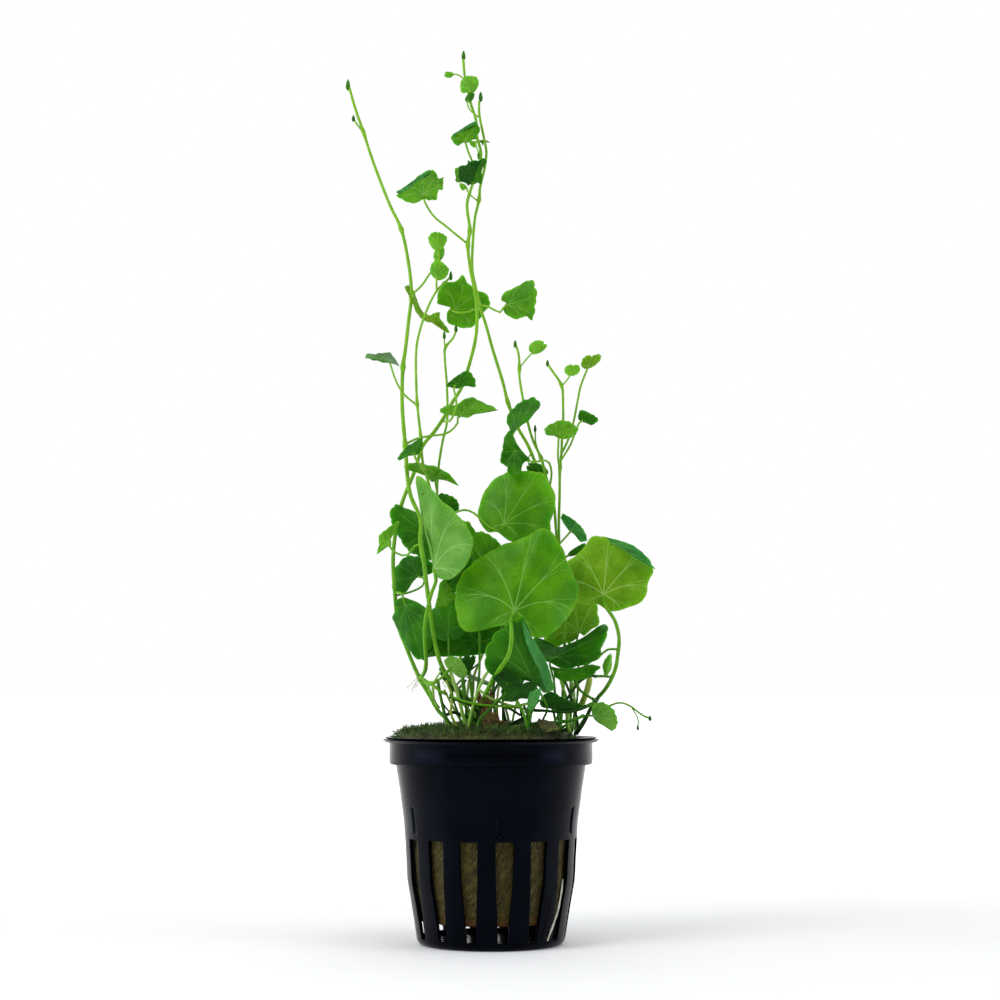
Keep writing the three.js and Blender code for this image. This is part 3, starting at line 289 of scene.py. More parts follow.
# Dead leaf: dry, papery, tan with brown streaks.
def dryLeaf(name, dark, light, green):
    material, tree, shader, spot = startMaterial(name, 0.85, 1.4)
    streak = noiseOn(tree, spot, 0.9, 5, 0.7)
    shade = mixColour(tree, band(tree, streak, 0.3, 0.7), dark, light)
    stain = band(tree, noiseOn(tree, spot, 2.4, 2), 0.5, 0.7, 0.0, green)
    paint(tree, shader, mixColour(tree, stain, shade, "#5f6a24"))
    bumpInto(tree, shader, streak, 0.7, 0.25)
    return material


# Root: pale living thread, slightly see-through skin, stained here and there.
def paleRoot():
    material, tree, shader, spot = startMaterial("paleRoot", 0.45, 1.4, (0.3, (1.0, 0.2, 0.1), 0.3))
    stain = band(tree, noiseOn(tree, spot, 2.0, 3), 0.35, 0.75)
    paint(tree, shader, mixColour(tree, stain, "#d6d4c0", "#a39f7c"))
    return material


plastic = mouldedPolypropylene()
wool = spunWool()
mossGreen = livingMoss()
rootSkin = paleRoot()
stemSkin = freshStem("freshStem", "#5c9a14", "#80b428", 50, 150)
crownSkin = freshStem("crownStem", "#3f8012", "#6cab22", 50, 100)
# Crown stalk skins: dark, mid and bright are one skin with painted deep shade, half shade and light.
stalkTones = {
    "dark": freshStem("deepShadeStalk", "#12380a", "#2f640f", 50, 75),
    "mid": freshStem("halfShadeStalk", "#356f10", "#5b9a20", 50, 75),
    "bright": freshStem("litStalk", "#5fa51a", "#8fc93c", 50, 75),
    "pale": freshStem("paleStalk", "#86b53e", "#b5d678", 50, 75),
    "yellow": freshStem("yellowStalk", "#93ad34", "#b3c65a", 50, 75),
}
# Leaf tissues: lit, shade and dark are one tissue as painted light, painted shade and deeper painted shade;
# blue is a painted bluish sheen, mostly on folded rims.
tissue = {
    "lit": leafTissue("leafLit", "#3f7f06", "#5b990d", "#93bd5a"),
    "pale": leafTissue("leafPale", "#538c22", "#6da23a", "#a8cf7c"),
    "fresh": leafTissue("leafFresh", "#559314", "#73b226", "#a8d268"),
    "shade": leafTissue("leafShade", "#205c04", "#347805", "#68a038"),
    "dark": leafTissue("leafDeepShade", "#123d06", "#1f5408", "#3f7a22"),
    "yellow": leafTissue("leafYellow", "#588909", "#76a219", "#b4d074"),
    "blue": leafTissue("leafBlueSheen", "#2f7a2c", "#4a9440", "#93c88c", 0.34),
    "dead": dryLeaf("dryLeaf", "#4a2f10", "#a98a4e", 0.5),
    "rotten": dryLeaf("rottenLeaf", "#2b2a0c", "#5d5a28", 0.8),
}
dry = ("dead", "rotten")
print("materials made")


def patch(joint, tip, tint, outline, **more):  # a small flat blade, its plane upright along joint and tip
    middle = [(joint[k] + tip[k]) / 2 for k in range(3)]
    across, rise = 0.3 * (tip[1] - joint[1]), 0.3 * (tip[0] - joint[0])
    left = (middle[0] - across, middle[1] + rise, middle[2])
    right = (middle[0] + across, middle[1] - rise, middle[2])
    return dict(joint=joint, tip=tip, left=left, right=right, cup=0.1, tint=tint, outline=outline) | more


# Stems: radius, route from the tip down, knots, buds as (place, width, length), side shoots, small leaves
stems = {
    "stem_a": dict(
        radius=0.52,
        line=[(-35.6, 211.8, 8), (-34, 206.2, 8), (-31.9, 200.1, 8), (-29.6, 193, 7.5), (-25.2, 181.6, 6.5),
            (-22.4, 175.6, 6), (-20.4, 166, 5), (-19.8, 159, 4), (-20.4, 153.2, 3.2), (-21.2, 145.7, 2.4),
            (-21.8, 141.2, 2), (-22, 131.7, 0.5), (-21.2, 121.5, -1), (-20, 109.6, -3), (-17.4, 103.2, -5),
            (-17.4, 97.3, -8), (-16.6, 92.9, -9.5), (-15.5, 84.5, -11), (-14.9, 80.1, -12),
            (-13.5, 71.8, -13), (-11.8, 66.5, -11.5), (-8.1, 61.5, -9), (-5.3, 58.9, -6.5), (-2.4, 56.7, -4),
            (-1.5, 53.5, -2)],
        knots=[(-31.9, 200.1, 8), (-22.4, 175.6, 6), (-19.8, 159, 4), (-21.8, 141.2, 2), (-21.2, 121.5, -1)],
        buds=[((-35.8, 212.1, 8), 0.8, 3), ((-34.4, 203.6, 8), 0.6, 1.8)],
        shoots=[[(-31.9, 200.1, 8), (-33.2, 201.6, 8), (-34.3, 203.4, 8)]],
    ),
    "stem_b": dict(
        radius=0.5,
        line=[(-7, 218.7, -2), (-6.6, 214.1, -2), (-5.7, 210.2, -1.7), (-5, 207, -1.5), (-3.8, 203.2, -1.2),
            (-3.6, 199.1, -1), (-2.5, 194.3, -0.5), (-4.5, 187.4, 0), (-6, 181.9, -0.5), (-5.3, 175.3, -1),
            (-5.8, 171.8, -1.2), (-5.3, 166.5, -1.5), (-3.8, 158.2, -2), (-3.5, 154, -2), (-3.8, 148.4, -2),
            (-5.2, 142.4, 1), (-7.4, 135.7, 2.5), (-9.7, 132, 3), (-11.6, 128.5, 3), (-14.3, 124.5, 3),
            (-16.8, 121.5, 3.2), (-18.8, 115.3, 3.5), (-22.2, 106.4, 4), (-23.6, 99.3, 4), (-24.1, 93.1, 2),
            (-23.6, 84.8, -1), (-22.8, 77.2, 1), (-20.5, 71.1, 0), (-18, 65.2, -2), (-14.8, 59.5, -4),
            (-12.9, 56.2, -5), (-10.7, 53.8, -6)],
        knots=[(-5.3, 175.3, -1), (-5.8, 171.8, -1.2), (-17.3, 64, -2.6)],
        buds=[((-6.9, 219.6, -2), 0.7, 2.6)],
        leaflets=[
            patch((-3.8, 197.6, 4), (-5, 196.6, 4), "fresh", [(-3.5, 197.8), (-4.5, 197.9), (-5.3, 197.8),
                (-5.4, 197.2), (-4.8, 196.5), (-4, 196.2), (-3.8, 197.2)], stalk=[(-3.5, 195.8, 2.4),
                (-3, 195, 0.5), (-2.7, 194.4, -0.4)]),
            patch((-2.9, 197.8, 4), (-0.3, 197.5, 5), "shade", [(-3.6, 197.8), (-2.8, 198.1), (-1.3, 198.1),
                (-0.3, 197.5), (-0.5, 197.4), (-1.3, 197.7), (-1.8, 197.4), (-2, 196.6), (-2.5, 197.4)],
                stalk=[(-3.8, 197.6, 4)]),
            patch((-2.9, 193.2, 0), (-3, 195, 0), "fresh", [(-2.8, 195.1), (-3.3, 195), (-3.5, 194.3),
                (-3.3, 193.3), (-2.9, 193.1), (-2.5, 194.1)], stalk=[(-2.5, 193, -0.4)]),
            dict(joint=(-9.6, 214.9, -2), tip=(-11.5, 215, -2), left=(-10.6, 214, -2),
                right=(-10.5, 215.7, -2), stalk=[(-8.6, 214.8, -2), (-7.2, 214, -2), (-6.6, 212.4, -2)]),
        ],
    ),
    "stem_c": dict(
        radius=0.47,
        line=[(-3, 208, -3), (-3, 204.9, -3), (-2, 199.6, -2.4), (-1.2, 195.3, 0.5), (-1.5, 191.7, 1.4),
            (-2.8, 185.9, 2), (-3, 183.1, 2.2), (-4, 178.6, 2.4), (-4.6, 171.3, 2.5), (-4.7, 165.3, 2.8),
            (-3.8, 160.7, 3), (-2.8, 156.2, 3), (-1.2, 151.2, 3.5), (0.3, 145.7, 4), (2.9, 137.2, 4.6),
            (4.2, 132, 5), (6.7, 125.7, 5.6), (9, 121.7, 5.9), (10.7, 117.7, 6), (12.1, 112.8, 6.4),
            (13.3, 103, 7), (14.5, 90.7, 8), (14, 78.4, 8), (12, 66.2, 7.5), (9, 55, 6.5)],
        knots=[(-3, 183.1, 2.2), (-2.8, 156.2, 3), (4.2, 132, 5)],
        buds=[((-2.6, 209.1, -3), 0.7, 2.6)],
        leaflets=[
            dict(joint=(-5.8, 208, -4.2), tip=(-4.8, 210, -4.2), left=(-6.5, 209, -4.2),
                right=(-4.5, 208.6, -4.2), stalk=[(-5.9, 206.8, -4), (-4.8, 205.2, -3.6), (-3.2, 204, -3)],
                tint="shade"),
            patch((-6, 185.7, 2.2), (-7.6, 186.7, 2.2), "fresh", [(-7.8, 187.4), (-7.9, 186.5), (-7.5, 185.7),
                (-7.1, 185.3), (-6.5, 185.6), (-5.9, 185.5), (-5.8, 185.8), (-6.5, 186.9), (-7.3, 187.2)],
                stalk=[(-5.4, 184.4, 2.2), (-3.9, 183.1, 2.2), (-3.1, 182.4, 2.2)]),
            dict(joint=(9.6, 116.3, 3.5), tip=(13.5, 114.1, 3.5), left=(12.1, 116.9, 3.5),
                right=(10, 114, 3.5), stalk=[(9, 117.6, 4.4), (9.8, 119.4, 5.9)], tint="shade"),
        ],
    ),
    "stem_d": dict(
        radius=0.42,
        line=[(-10.3, 163.3, -4), (-13.4, 160.2, -4), (-15.2, 157, -3.8), (-16.9, 152.7, -3.4),
            (-18.3, 147.4, -3), (-18.6, 144.2, -3), (-18.6, 139.2, -3), (-18.3, 132, -3), (-17.4, 123.8, -3),
            (-16.8, 116.8, -3), (-16, 114.1, -2.6), (-13.5, 105.4, -1), (-10.1, 93.1, -0.5), (-7.1, 78.4, 0),
            (-5.1, 63.8, 0.5), (-4, 53, 0.5)],
        knots=[(-18.3, 132, -3), (-17.4, 123.8, -3)],
        buds=[((-10, 163.8, -4), 0.6, 2.4)],
    ),
    "stem_e": dict(
        radius=0.42,
        line=[(-8.7, 150.2, 4), (-9.4, 148.2, 4), (-11.4, 145.9, 4), (-11.5, 144, 4), (-10.9, 135.4, 5),
            (-10.9, 127.2, 5), (-11.9, 122.8, 5), (-12.9, 116.6, 4.6), (-13.3, 110.4, 4.2), (-13.1, 103, 4),
            (-11.3, 93.1, 4.2), (-8.8, 78.4, 4.6), (-5.6, 53, 5)],
        knots=[(-11.4, 145.9, 4)],
        buds=[((-8.7, 150.6, 4), 0.6, 2.2), ((-11.6, 148.9, 4), 0.55, 2.2)],
        shoots=[[(-11.6, 148.6, 4), (-11.6, 147.4, 4), (-11.4, 145.9, 4)]],
    ),
    "stem_f": dict(
        radius=0.45, foot=49.5,
        line=[(6.1, 146.5, -1), (6.8, 144.3, -1), (7, 140.8, -1), (7, 138.7, -1), (7.9, 132.9, -0.5),
            (9, 127.5, 0.2), (10.3, 122.8, 0.6), (12.3, 118.4, 1), (13.5, 114.1, 1.5), (14.8, 109.1, 2),
            (15.5, 106.7, 2.4), (16.1, 99.3, 3), (16.9, 94.3, 3.6), (18.2, 83.3, 4.4), (19.3, 71.1, 5),
            (19.6, 61.3, 5), (19.3, 52, 5)],
        knots=[(7, 140.8, -1), (12.3, 118.4, 1)],
        buds=[((6, 146.7, -1), 0.6, 2), ((10.9, 125.6, 0.5), 0.5, 2)],
        shoots=[[(10.9, 125.4, 0.5), (11, 122.2, 0.6), (11.8, 119.6, 0.8)]],
        leaflets=[
            dict(joint=(10.3, 144.8, -1), tip=(13.2, 146.8, -1), left=(9.9, 147, -1), right=(12.3, 144.6, -1),
                stalk=[(8.8, 143, -1), (7.2, 141, -1)], cup=0.3),
        ],
    ),
    "stem_g": dict(
        radius=0.45,
        line=[(14.1, 141.6, -2), (15.2, 139.9, -2), (16.1, 138.7, -2), (17.5, 136.2, -1.6), (17.8, 132, -1),
            (17.8, 127.5, 0), (17.5, 123, 0), (17.4, 120.3, 0), (17, 115.8, 0), (16.9, 109.1, 0),
            (16.7, 102.7, 0), (16.7, 98.8, 0), (16.9, 93.1, 0.4), (18, 83, 1), (17.6, 60, 1.6),
            (17, 52.5, 2)],
        knots=[(17.5, 136.2, -1.6), (17, 115.8, 0)],
        buds=[((14, 141.9, -2), 0.55, 1.8)],
        leaflets=[
            dict(joint=(19.7, 139.1, -2), tip=(20.3, 141.4, -2), left=(18.1, 140.2, -2),
                right=(22, 139.9, -2), stalk=[(18.8, 137.7, -2), (17.6, 136.4, -1.7)], cup=0.2),
        ],
    ),
    "right_stem": dict(
        radius=0.42, foot=49.5,
        line=[(31.1, 71.2, -3), (28.7, 71.2, -3), (26.6, 69.6, -3), (24, 67.9, -3), (21.6, 65.8, -2.6),
            (20.3, 63.7, -2.2), (21, 62.1, -1.8), (23.2, 60.1, -1.2), (25.4, 58.7, -0.6), (24.6, 57.1, -0.2),
            (22.5, 53.9, 0), (20.5, 50.9, 0)],
        knots=[(25.3, 58.5, -0.6)],
        buds=[((31.2, 71.2, -3), 0.7, 1.6), ((29.6, 64.7, -3), 0.5, 1.2)],
        shoots=[[(20.6, 63.1, -2), (23, 64.3, -2.6), (26.2, 64.7, -3), (29.4, 64.6, -3)]],
        leaflets=[
            dict(joint=(28, 64.4, -3.2), tip=(29.3, 70, -2.2), left=(27.3, 67.4, -1.4),
                right=(29.6, 66.6, -1.4), stalk=[(27.4, 64.5, -3), (26.6, 64.6, -3)], cup=0.3, taper=0.5,
                lobe=0.1),
        ],
    ),
    "right_runner": dict(
        radius=0.36, foot=None,
        line=[(38.8, 54.4, -6), (37.3, 55, -6), (35.5, 56.3, -5.6), (33.7, 57.6, -5.2), (31.4, 58.2, -4.8),
            (28.4, 57.2, -4.4), (26.6, 56.7, -3), (24.9, 57.3, -1)],
        buds=[((38.9, 54.4, -6), 0.55, 1.4), ((35.9, 52.1, -5.4), 0.45, 1.4)],
        shoots=[[(34.2, 57.3, -5.3), (35.3, 55.6, -5.4), (36, 54.2, -5.4), (35.9, 52.4, -5.4)]],
    ),
    "long_runner": dict(
        radius=0.36, foot=None,
        line=[(25, 58.3, -1), (23.4, 57.6, -2.6), (21.6, 56.9, -3.6), (17.8, 56.2, -5.4), (13.6, 56.2, -7.4),
            (10.4, 56.2, -9.8), (7.1, 56.9, -12.6), (3.9, 57.2, -14.4), (-1.7, 57.6, -15.2),
            (-6.1, 58.4, -15.4), (-9.8, 59.8, -15)],
        buds=[((-9.9, 59.8, -15), 0.5, 1.4)],
    ),
}

# Leaves: where the stalk meets the blade, its tip and two sides, and the stalk from there down.
# bits are folded rims, torn scraps and lit or shaded patches (painted light and shade), each a small blade of
# its own.
leaves = {
    "leaf_01": dict(
        joint=(-5.4, 210.4, -3.5), tip=(-5.5, 214.5, -4), left=(-7.9, 212.3, -3), right=(-3.1, 212.6, -3),
        stalk=[(-5.3, 208.3, -2.7), (-5, 206.6, -1.5)], tint="fresh",
        outline=[(-6.1, 210.1), (-7.3, 210.1), (-7.8, 211.4), (-7.6, 213.1), (-6.3, 214.3), (-5.1, 214.5),
            (-3.6, 214.2), (-3.1, 212.6), (-3.8, 210.8), (-5.1, 209.8)],
    ),
    "leaf_02": dict(
        joint=(-6.5, 197.5, -5), tip=(-7, 201.6, -5), left=(-9.9, 198.8, -5), right=(-2.7, 200.3, -4.5),
        stalk=[(-6.3, 197, -4.6), (-5.7, 195, -3.6), (-4.8, 192.9, -2), (-4.1, 190, -0.2)], curl=0.8,
        outline=[(-6.8, 197.4), (-7.5, 197.2), (-8.3, 196.7), (-9.3, 197.4), (-9.8, 198.1), (-10, 198.9),
            (-9.5, 199.5), (-7.8, 200.7), (-5.3, 202.3), (-3.8, 203), (-3.3, 202.4), (-2.8, 200.9),
            (-2.8, 200.2), (-3.4, 199.5), (-3.5, 198.5), (-4.8, 198.1), (-5, 197.5), (-6, 197.4)],
        bits=[
            patch((-9.5, 199.4, -4.8), (-3.8, 202.8, -4.7), "blue", [(-9.7, 199.4), (-7.8, 200.7),
                (-5.3, 202.3), (-3.8, 203), (-3.5, 202.6), (-4.8, 201.7), (-6.3, 200.8), (-7.8, 199.9),
                (-9, 199.1)]),
        ],
    ),
    "leaf_03": dict(
        joint=(-16.9, 183.6, -5), tip=(-15.2, 190.1, -1), left=(-23.5, 184.9, -4), right=(-11.8, 187.1, -3),
        stalk=[(-15.7, 180.8, -4), (-14, 178.5, -3.4), (-11.6, 176.6, -2.8), (-9.2, 174.6, -2),
            (-6, 172, -1.2)], cup=1,
        outline=[(-17, 183.3), (-18, 182.7), (-19, 182.1), (-19.7, 181.9), (-20.7, 182.2), (-21.7, 182.9),
            (-23, 183.8), (-23.7, 185), (-22.7, 185.5), (-20.2, 187), (-17.8, 189.1), (-15, 190.5),
            (-13.8, 189.8), (-13.1, 189), (-11.8, 189.3), (-12, 188.8), (-11.8, 188), (-12.1, 187.2),
            (-12, 186), (-13, 185.6), (-13.3, 184.7), (-13.7, 183.4), (-14.7, 183.3), (-15.5, 182.9),
            (-16.2, 183.2)],
        bits=[
            patch((-23.5, 185, -3.6), (-15, 190.4, -1.5), "blue", [(-23.7, 185), (-22.7, 185.5), (-20.2, 187),
                (-17.8, 189.1), (-15, 190.5), (-15.8, 189.5), (-17.2, 187.7), (-18.5, 186.6), (-20, 185.3),
                (-21.7, 184.8), (-23, 184.6)]),
        ],
    ),
    "leaf_04": dict(
        joint=(-4.7, 186.9, -2.4), tip=(-4.2, 192.7, -5), left=(-9.1, 190.4, -5), right=(-1.2, 192.2, -4),
        stalk=[(-5.1, 185.6, -1.6), (-5.2, 184.5, -0.2)], cup=-0.8, tint="dark",
        outline=[(-4.3, 187), (-5.3, 187), (-5.8, 186.6), (-6.3, 187.2), (-7.8, 187.6), (-8.5, 187.4),
            (-9, 187.9), (-8.8, 188.5), (-9, 189.5), (-9.1, 190.5), (-8.8, 191.2), (-7.8, 191.7), (-6, 192.2),
            (-5.8, 193.1), (-5.3, 192.7), (-3, 193.1), (-1.8, 193.7), (-1.3, 193.4), (-1.8, 191.8),
            (-2.3, 191), (-2.4, 190), (-2.3, 188.5), (-2.4, 187), (-2.9, 187), (-3, 187.7), (-3.8, 187.2)],
        bits=[
            patch((-8.4, 187.5, -4.9), (-8.7, 191, -6.2), "lit", [(-8.8, 191.2), (-8.3, 190.8), (-8, 190),
                (-8.1, 189), (-7.8, 187.6), (-8.5, 187.4), (-9, 187.9), (-8.8, 188.5), (-9, 189.5),
                (-9.1, 190.5)]),
            patch((-3.3, 187.2, -2.9), (-1.7, 193.3, -5.2), "shade", [(-1.7, 193.3), (-2.8, 192.3),
                (-3.8, 190.3), (-4.2, 188.8), (-4.4, 187), (-3.8, 187.2), (-3, 187.7), (-2.9, 187),
                (-2.4, 187), (-2.3, 188.5), (-2.4, 190), (-2.3, 191), (-1.8, 191.8)]),
        ],
    ),
    "leaf_05": dict(
        joint=(-13.2, 170.4, 1), tip=(-14.1, 175.1, 1), left=(-15.8, 173.1, 1), right=(-11, 173.5, 1),
        stalk=[(-12.8, 168.8, 1.2), (-13.5, 166.2, 1.6), (-15, 164.7, 2), (-17.4, 161.2, 3),
            (-19.7, 159.2, 4)], cup=0.4, tint="fresh",
        outline=[(-14, 170.3), (-15, 171.3), (-15.7, 173.3), (-14.7, 174.7), (-12.7, 174.7), (-11, 173.6),
            (-11.5, 171.6), (-12.5, 170.3)],
        second=dict(joint=(-13.1, 167.6, 1.3), tip=(-12.6, 170.4, 1.2), left=(-14.4, 169.1, 1.4),
            right=(-11.6, 169.4, 1.4)),
    ),
    "leaf_06": dict(
        joint=(-13.5, 163, -5.4), tip=(-13.5, 167.8, -5.4), left=(-15.4, 165.5, -5), right=(-10.4, 165.5, -5),
        stalk=[(-13.6, 161.6, -5), (-13.5, 160.2, -4.1)], cup=0.4, tint="fresh",
        outline=[(-14.2, 163.3), (-15.2, 165), (-14.7, 167.1), (-13.2, 167.8), (-11.5, 166.8), (-10.5, 165.5),
            (-11.2, 163.5), (-12.7, 162.7)],
    ),
    "leaf_07": dict(
        joint=(-19.6, 158.6, 3.8), tip=(-16.2, 153, 3.6), left=(-19.4, 155.6, 2.5), right=(-17.4, 155.9, 5.5),
        stalk=[(-19.7, 158.8, 3.9), (-19.8, 158.9, 4)], cup=0.4, tint="yellow",
        outline=[(-19.4, 156.3), (-20.9, 159.5), (-21.4, 161), (-20.7, 161.4), (-19.9, 160.5), (-18.9, 158.3),
            (-17.7, 156), (-16.7, 154.2), (-15.9, 153), (-16.9, 152.6), (-18.4, 153.7)],
        second=dict(joint=(-16.6, 153.3, 3.6), tip=(-10.3, 149.8, 5), left=(-14, 150.9, 3.6),
            right=(-13.2, 153.9, 5), cup=0.4, outline=[(-16.9, 154.4), (-15.2, 153.9), (-14.2, 154.4),
            (-12.7, 154.4), (-12.9, 153.3), (-11.9, 152), (-10.2, 149.7), (-10.9, 149.4), (-11.9, 150.2),
            (-12.7, 151.5), (-14.2, 152.1), (-15.9, 152.2), (-17.2, 153)]),
    ),
    "leaf_08": dict(
        joint=(-10, 155.2, 6.5), tip=(-0.1, 157.2, 8), left=(-7.2, 164, 7), right=(-6.2, 150.8, 7),
        stalk=[(-8.4, 154.6, 5), (-5.6, 154.8, 4), (-2.8, 156.1, 3)], cup=1,
        outline=[(-10, 156.1), (-13.2, 156.8), (-13.4, 158.3), (-12.7, 160.8), (-11.5, 162.5), (-9, 162.4),
            (-7, 164.2), (-5, 161.5), (-1.3, 159), (-0.3, 157), (-2, 154.2), (-4.5, 151.2), (-7.5, 150.9),
            (-10.7, 152.2), (-11, 154.5)],
    ),
    "leaf_09": dict(
        joint=(3.4, 156.4, 0), tip=(11.1, 158.5, -3), left=(6.7, 162.7, -2), right=(6.2, 151.2, 1),
        stalk=[(2.4, 154.7, 0.4), (0.7, 155.3, 1.4), (-1, 156.2, 2.4), (-2.6, 156.4, 3)], cup=0.9,
        outline=[(3.9, 157.3), (2.7, 157.6), (2.9, 159.3), (5.2, 160.6), (9.9, 162.8), (11.3, 160.3),
            (10.8, 155.8), (10, 152.6), (8.7, 153.7), (6.4, 152.9), (3.7, 154), (2.9, 155.8)],
    ),
    "leaf_10": dict(
        joint=(-25, 141.8, -2), tip=(-25.5, 144.4, 9), left=(-31, 144, 3), right=(-22.9, 142.2, 5),
        stalk=[(-24.8, 141.2, -2.4), (-23.9, 138.4, -2.6), (-22.7, 135.8, -2.8), (-21.1, 133.7, -3),
            (-18.5, 131.6, -3)], cup=0.5, tint="shade",
        outline=[(-25.5, 141.9), (-28, 142.7), (-31.2, 143.5), (-30.5, 144.6), (-27.3, 144.4), (-24.8, 144.2),
            (-22.6, 142.2), (-22.8, 141.5), (-24.5, 141.7)],
    ),
    "leaf_11": dict(
        joint=(-9.3, 136.1, -2), tip=(-5.7, 140, -2), left=(-10.9, 137.2, -2), right=(-4, 136.7, -2),
        stalk=[(-9.2, 135.2, -2.4), (-8.7, 133.3, -3), (-8.6, 131.2, -3.2), (-9.2, 129.4, -3.2),
            (-9.9, 127.8, -2.4), (-11.8, 127.4, 2.4)], cup=0.4, tint="shade",
        outline=[(-10.4, 136), (-11.2, 136.4), (-8.2, 139), (-5.7, 140.1), (-4, 138), (-4, 136.1),
            (-6.2, 136.2), (-8.4, 135.6)],
    ),
    "leaf_12": dict(
        joint=(-8.4, 128.7, -0.8), tip=(1.6, 130, -1), left=(-4.7, 133.6, 2), right=(-7.2, 127.2, -6),
        stalk=[(-8, 127.8, -1), (-8.9, 126.1, -1), (-11.1, 124.4, -0.6), (-14.5, 123.9, 0.2),
            (-18.2, 123.2, 0.2), (-21.1, 121.8, -0.9)], cup=0.6,
        outline=[(-9.7, 128.7), (-12.4, 129.4), (-12.4, 131.3), (-8.4, 131.9), (-5, 133.8), (-1.5, 132.3),
            (1.7, 130), (-1, 130.3), (-3.2, 129.6), (-6.7, 128.5)],
    ),
    "leaf_13": dict(
        joint=(4.9, 123.7, -4), tip=(11.6, 132.4, -3), left=(3.7, 129.2, -2), right=(8.6, 126.6, -5),
        stalk=[(6.6, 120.4, -5.4), (9.7, 117.5, -4.6), (13.9, 117.6, -2), (14.9, 115, 0), (14.4, 110.8, 1.8)],
            cup=0.8, tint="shade",
        outline=[(4.4, 126), (3.6, 127.6), (3.9, 129.5), (5.9, 131.5), (8.1, 133.1), (10.9, 133.3),
            (12.1, 131.5), (10.9, 130), (9.1, 127.8), (6.6, 126), (5.7, 124.3), (5, 124.2)],
        second=dict(joint=(6.4, 120.6, -5.4), tip=(2.4, 117.2, -7), left=(6.8, 116.2, -7.6),
            right=(3.8, 122.6, -5.6), cup=0.4, outline=[(5.2, 125), (6.4, 121.8), (8.4, 119.3), (9.6, 118.3),
            (7.9, 117.1), (7.4, 114.9), (5.9, 114.1), (3.9, 115.1), (4.2, 116.1), (2.3, 117.4), (2.7, 120.3),
            (3.4, 123.8), (4.4, 125.3)]),
    ),
    "leaf_16": dict(
        joint=(16.7, 123.8, -4), tip=(17.5, 127.4, -2.5), left=(13.1, 124.7, -4), right=(21.3, 125.2, -4),
        stalk=[(16.6, 121.6, -3.8), (16.5, 118.8, -2.4), (16.8, 116.4, -0.3)], cup=0.5,
        outline=[(15.5, 123.8), (13.6, 124.2), (13.3, 126), (15.8, 127.4), (19, 127.4), (21.5, 126),
            (20.7, 124.1), (19, 123.1), (17.3, 123.2)],
    ),
    "leaf_17": dict(
        joint=(24, 140.9, 0), tip=(24.9, 143.7, 0), left=(22.2, 142, 0), right=(27.1, 142.8, 0),
        stalk=[(22.2, 136.3, 0.6), (21.3, 132, 1.2), (20.4, 127.4, 1.5), (19.1, 123, 1.5),
            (17.5, 119.6, 0.2)], cup=0.3, tint="yellow",
    ),
    "leaf_18": dict(
        joint=(22.2, 127.7, 0.2), tip=(26.5, 127.9, 0.2), left=(23.7, 130.2, 0.2), right=(24.4, 126, 0.2),
        stalk=[(21, 125.3, -0.8), (19.6, 121.6, -1.5), (17.4, 118, -0.2)], cup=0.3, tint="shade",
        outline=[(21.7, 127.8), (21.5, 129), (22.2, 130.3), (24.5, 129.5), (26.5, 127.9), (24.9, 126.5),
            (23.5, 127)],
    ),
    "leaf_19": dict(
        joint=(-19.2, 119, -6.5), tip=(-17.3, 123, -5), left=(-23.3, 118.3, -5), right=(-16, 121.8, -5.5),
        stalk=[(-17.9, 117.2, -5.4), (-16.3, 115, -2.9)], cup=0.4, tint="shade",
        outline=[(-20.3, 118.8), (-22.7, 117.8), (-23.2, 118.8), (-20.5, 121.3), (-17.1, 123.4),
            (-16.8, 121.6), (-17.6, 119.8), (-18.8, 119.1)],
    ),
    "leaf_20": dict(
        joint=(-13.8, 112.6, 0), tip=(-14.1, 116.8, 2), left=(-21.5, 116.3, 0.5), right=(-7.9, 112.1, -1),
        stalk=[(-13.5, 111, 1.5), (-13.3, 108.6, 4)], cup=0.8,
        outline=[(-14.6, 112.2), (-16.3, 114.1), (-21.5, 116.1), (-20.3, 117.2), (-15.8, 116.9),
            (-12.4, 115.5), (-9.4, 113.6), (-8, 111.9), (-10.9, 112.8), (-13.1, 112.8)],
    ),
    "leaf_21": dict(
        joint=(-13.5, 88.2, -14), tip=(-19.4, 113.6, -9), left=(-17.6, 94.4, -12), right=(-4.4, 95.1, -19),
        stalk=[(-14.7, 84.8, -15), (-15.7, 80.6, -15.5), (-16.3, 76.4, -15), (-16.2, 72.6, -13),
            (-15.9, 68.8, -10), (-16.1, 66.2, -7), (-17.3, 64, -2.8)], radius=0.5, cup=0.5, tint="pale",
        outline=[(-14.3, 89.9), (-14, 94.4), (-15.5, 99.8), (-17.5, 106.2), (-18.6, 111.9), (-18, 113.9),
            (-15.1, 111.4), (-11.1, 107), (-8.6, 104.7), (-5.9, 100.8), (-4.6, 96.6), (-5.7, 92.6),
            (-7.9, 89.7), (-11.1, 88.2)],
    ),
    "leaf_22": dict(
        joint=(2.2, 100.4, -8), tip=(10.8, 114.8, -5), left=(-3.7, 105.9, -6), right=(12.8, 102.2, -6),
        stalk=[(-0.5, 101.2, -8), (-2.8, 103.5, -7.2), (-4.9, 105.1, -6), (-6.9, 105.5, -5),
            (-8.6, 104.9, -4), (-12.2, 103, -1.2)], cup=1.2,
        outline=[(1.5, 99.8), (-0.8, 100), (-3.2, 103.7), (-2.5, 108.4), (0.2, 112.9), (3.4, 114.6),
            (8.1, 115.1), (12.8, 114.6), (15.5, 110.7), (16, 107.9), (14.8, 103), (14.3, 99.1), (8.8, 96.8),
            (4.2, 98.1)],
    ),
    "leaf_23": dict(
        joint=(4.8, 78.2, -17), tip=(13.3, 101.5, -13), left=(-8.6, 83.3, -15), right=(21.8, 84.5, -14),
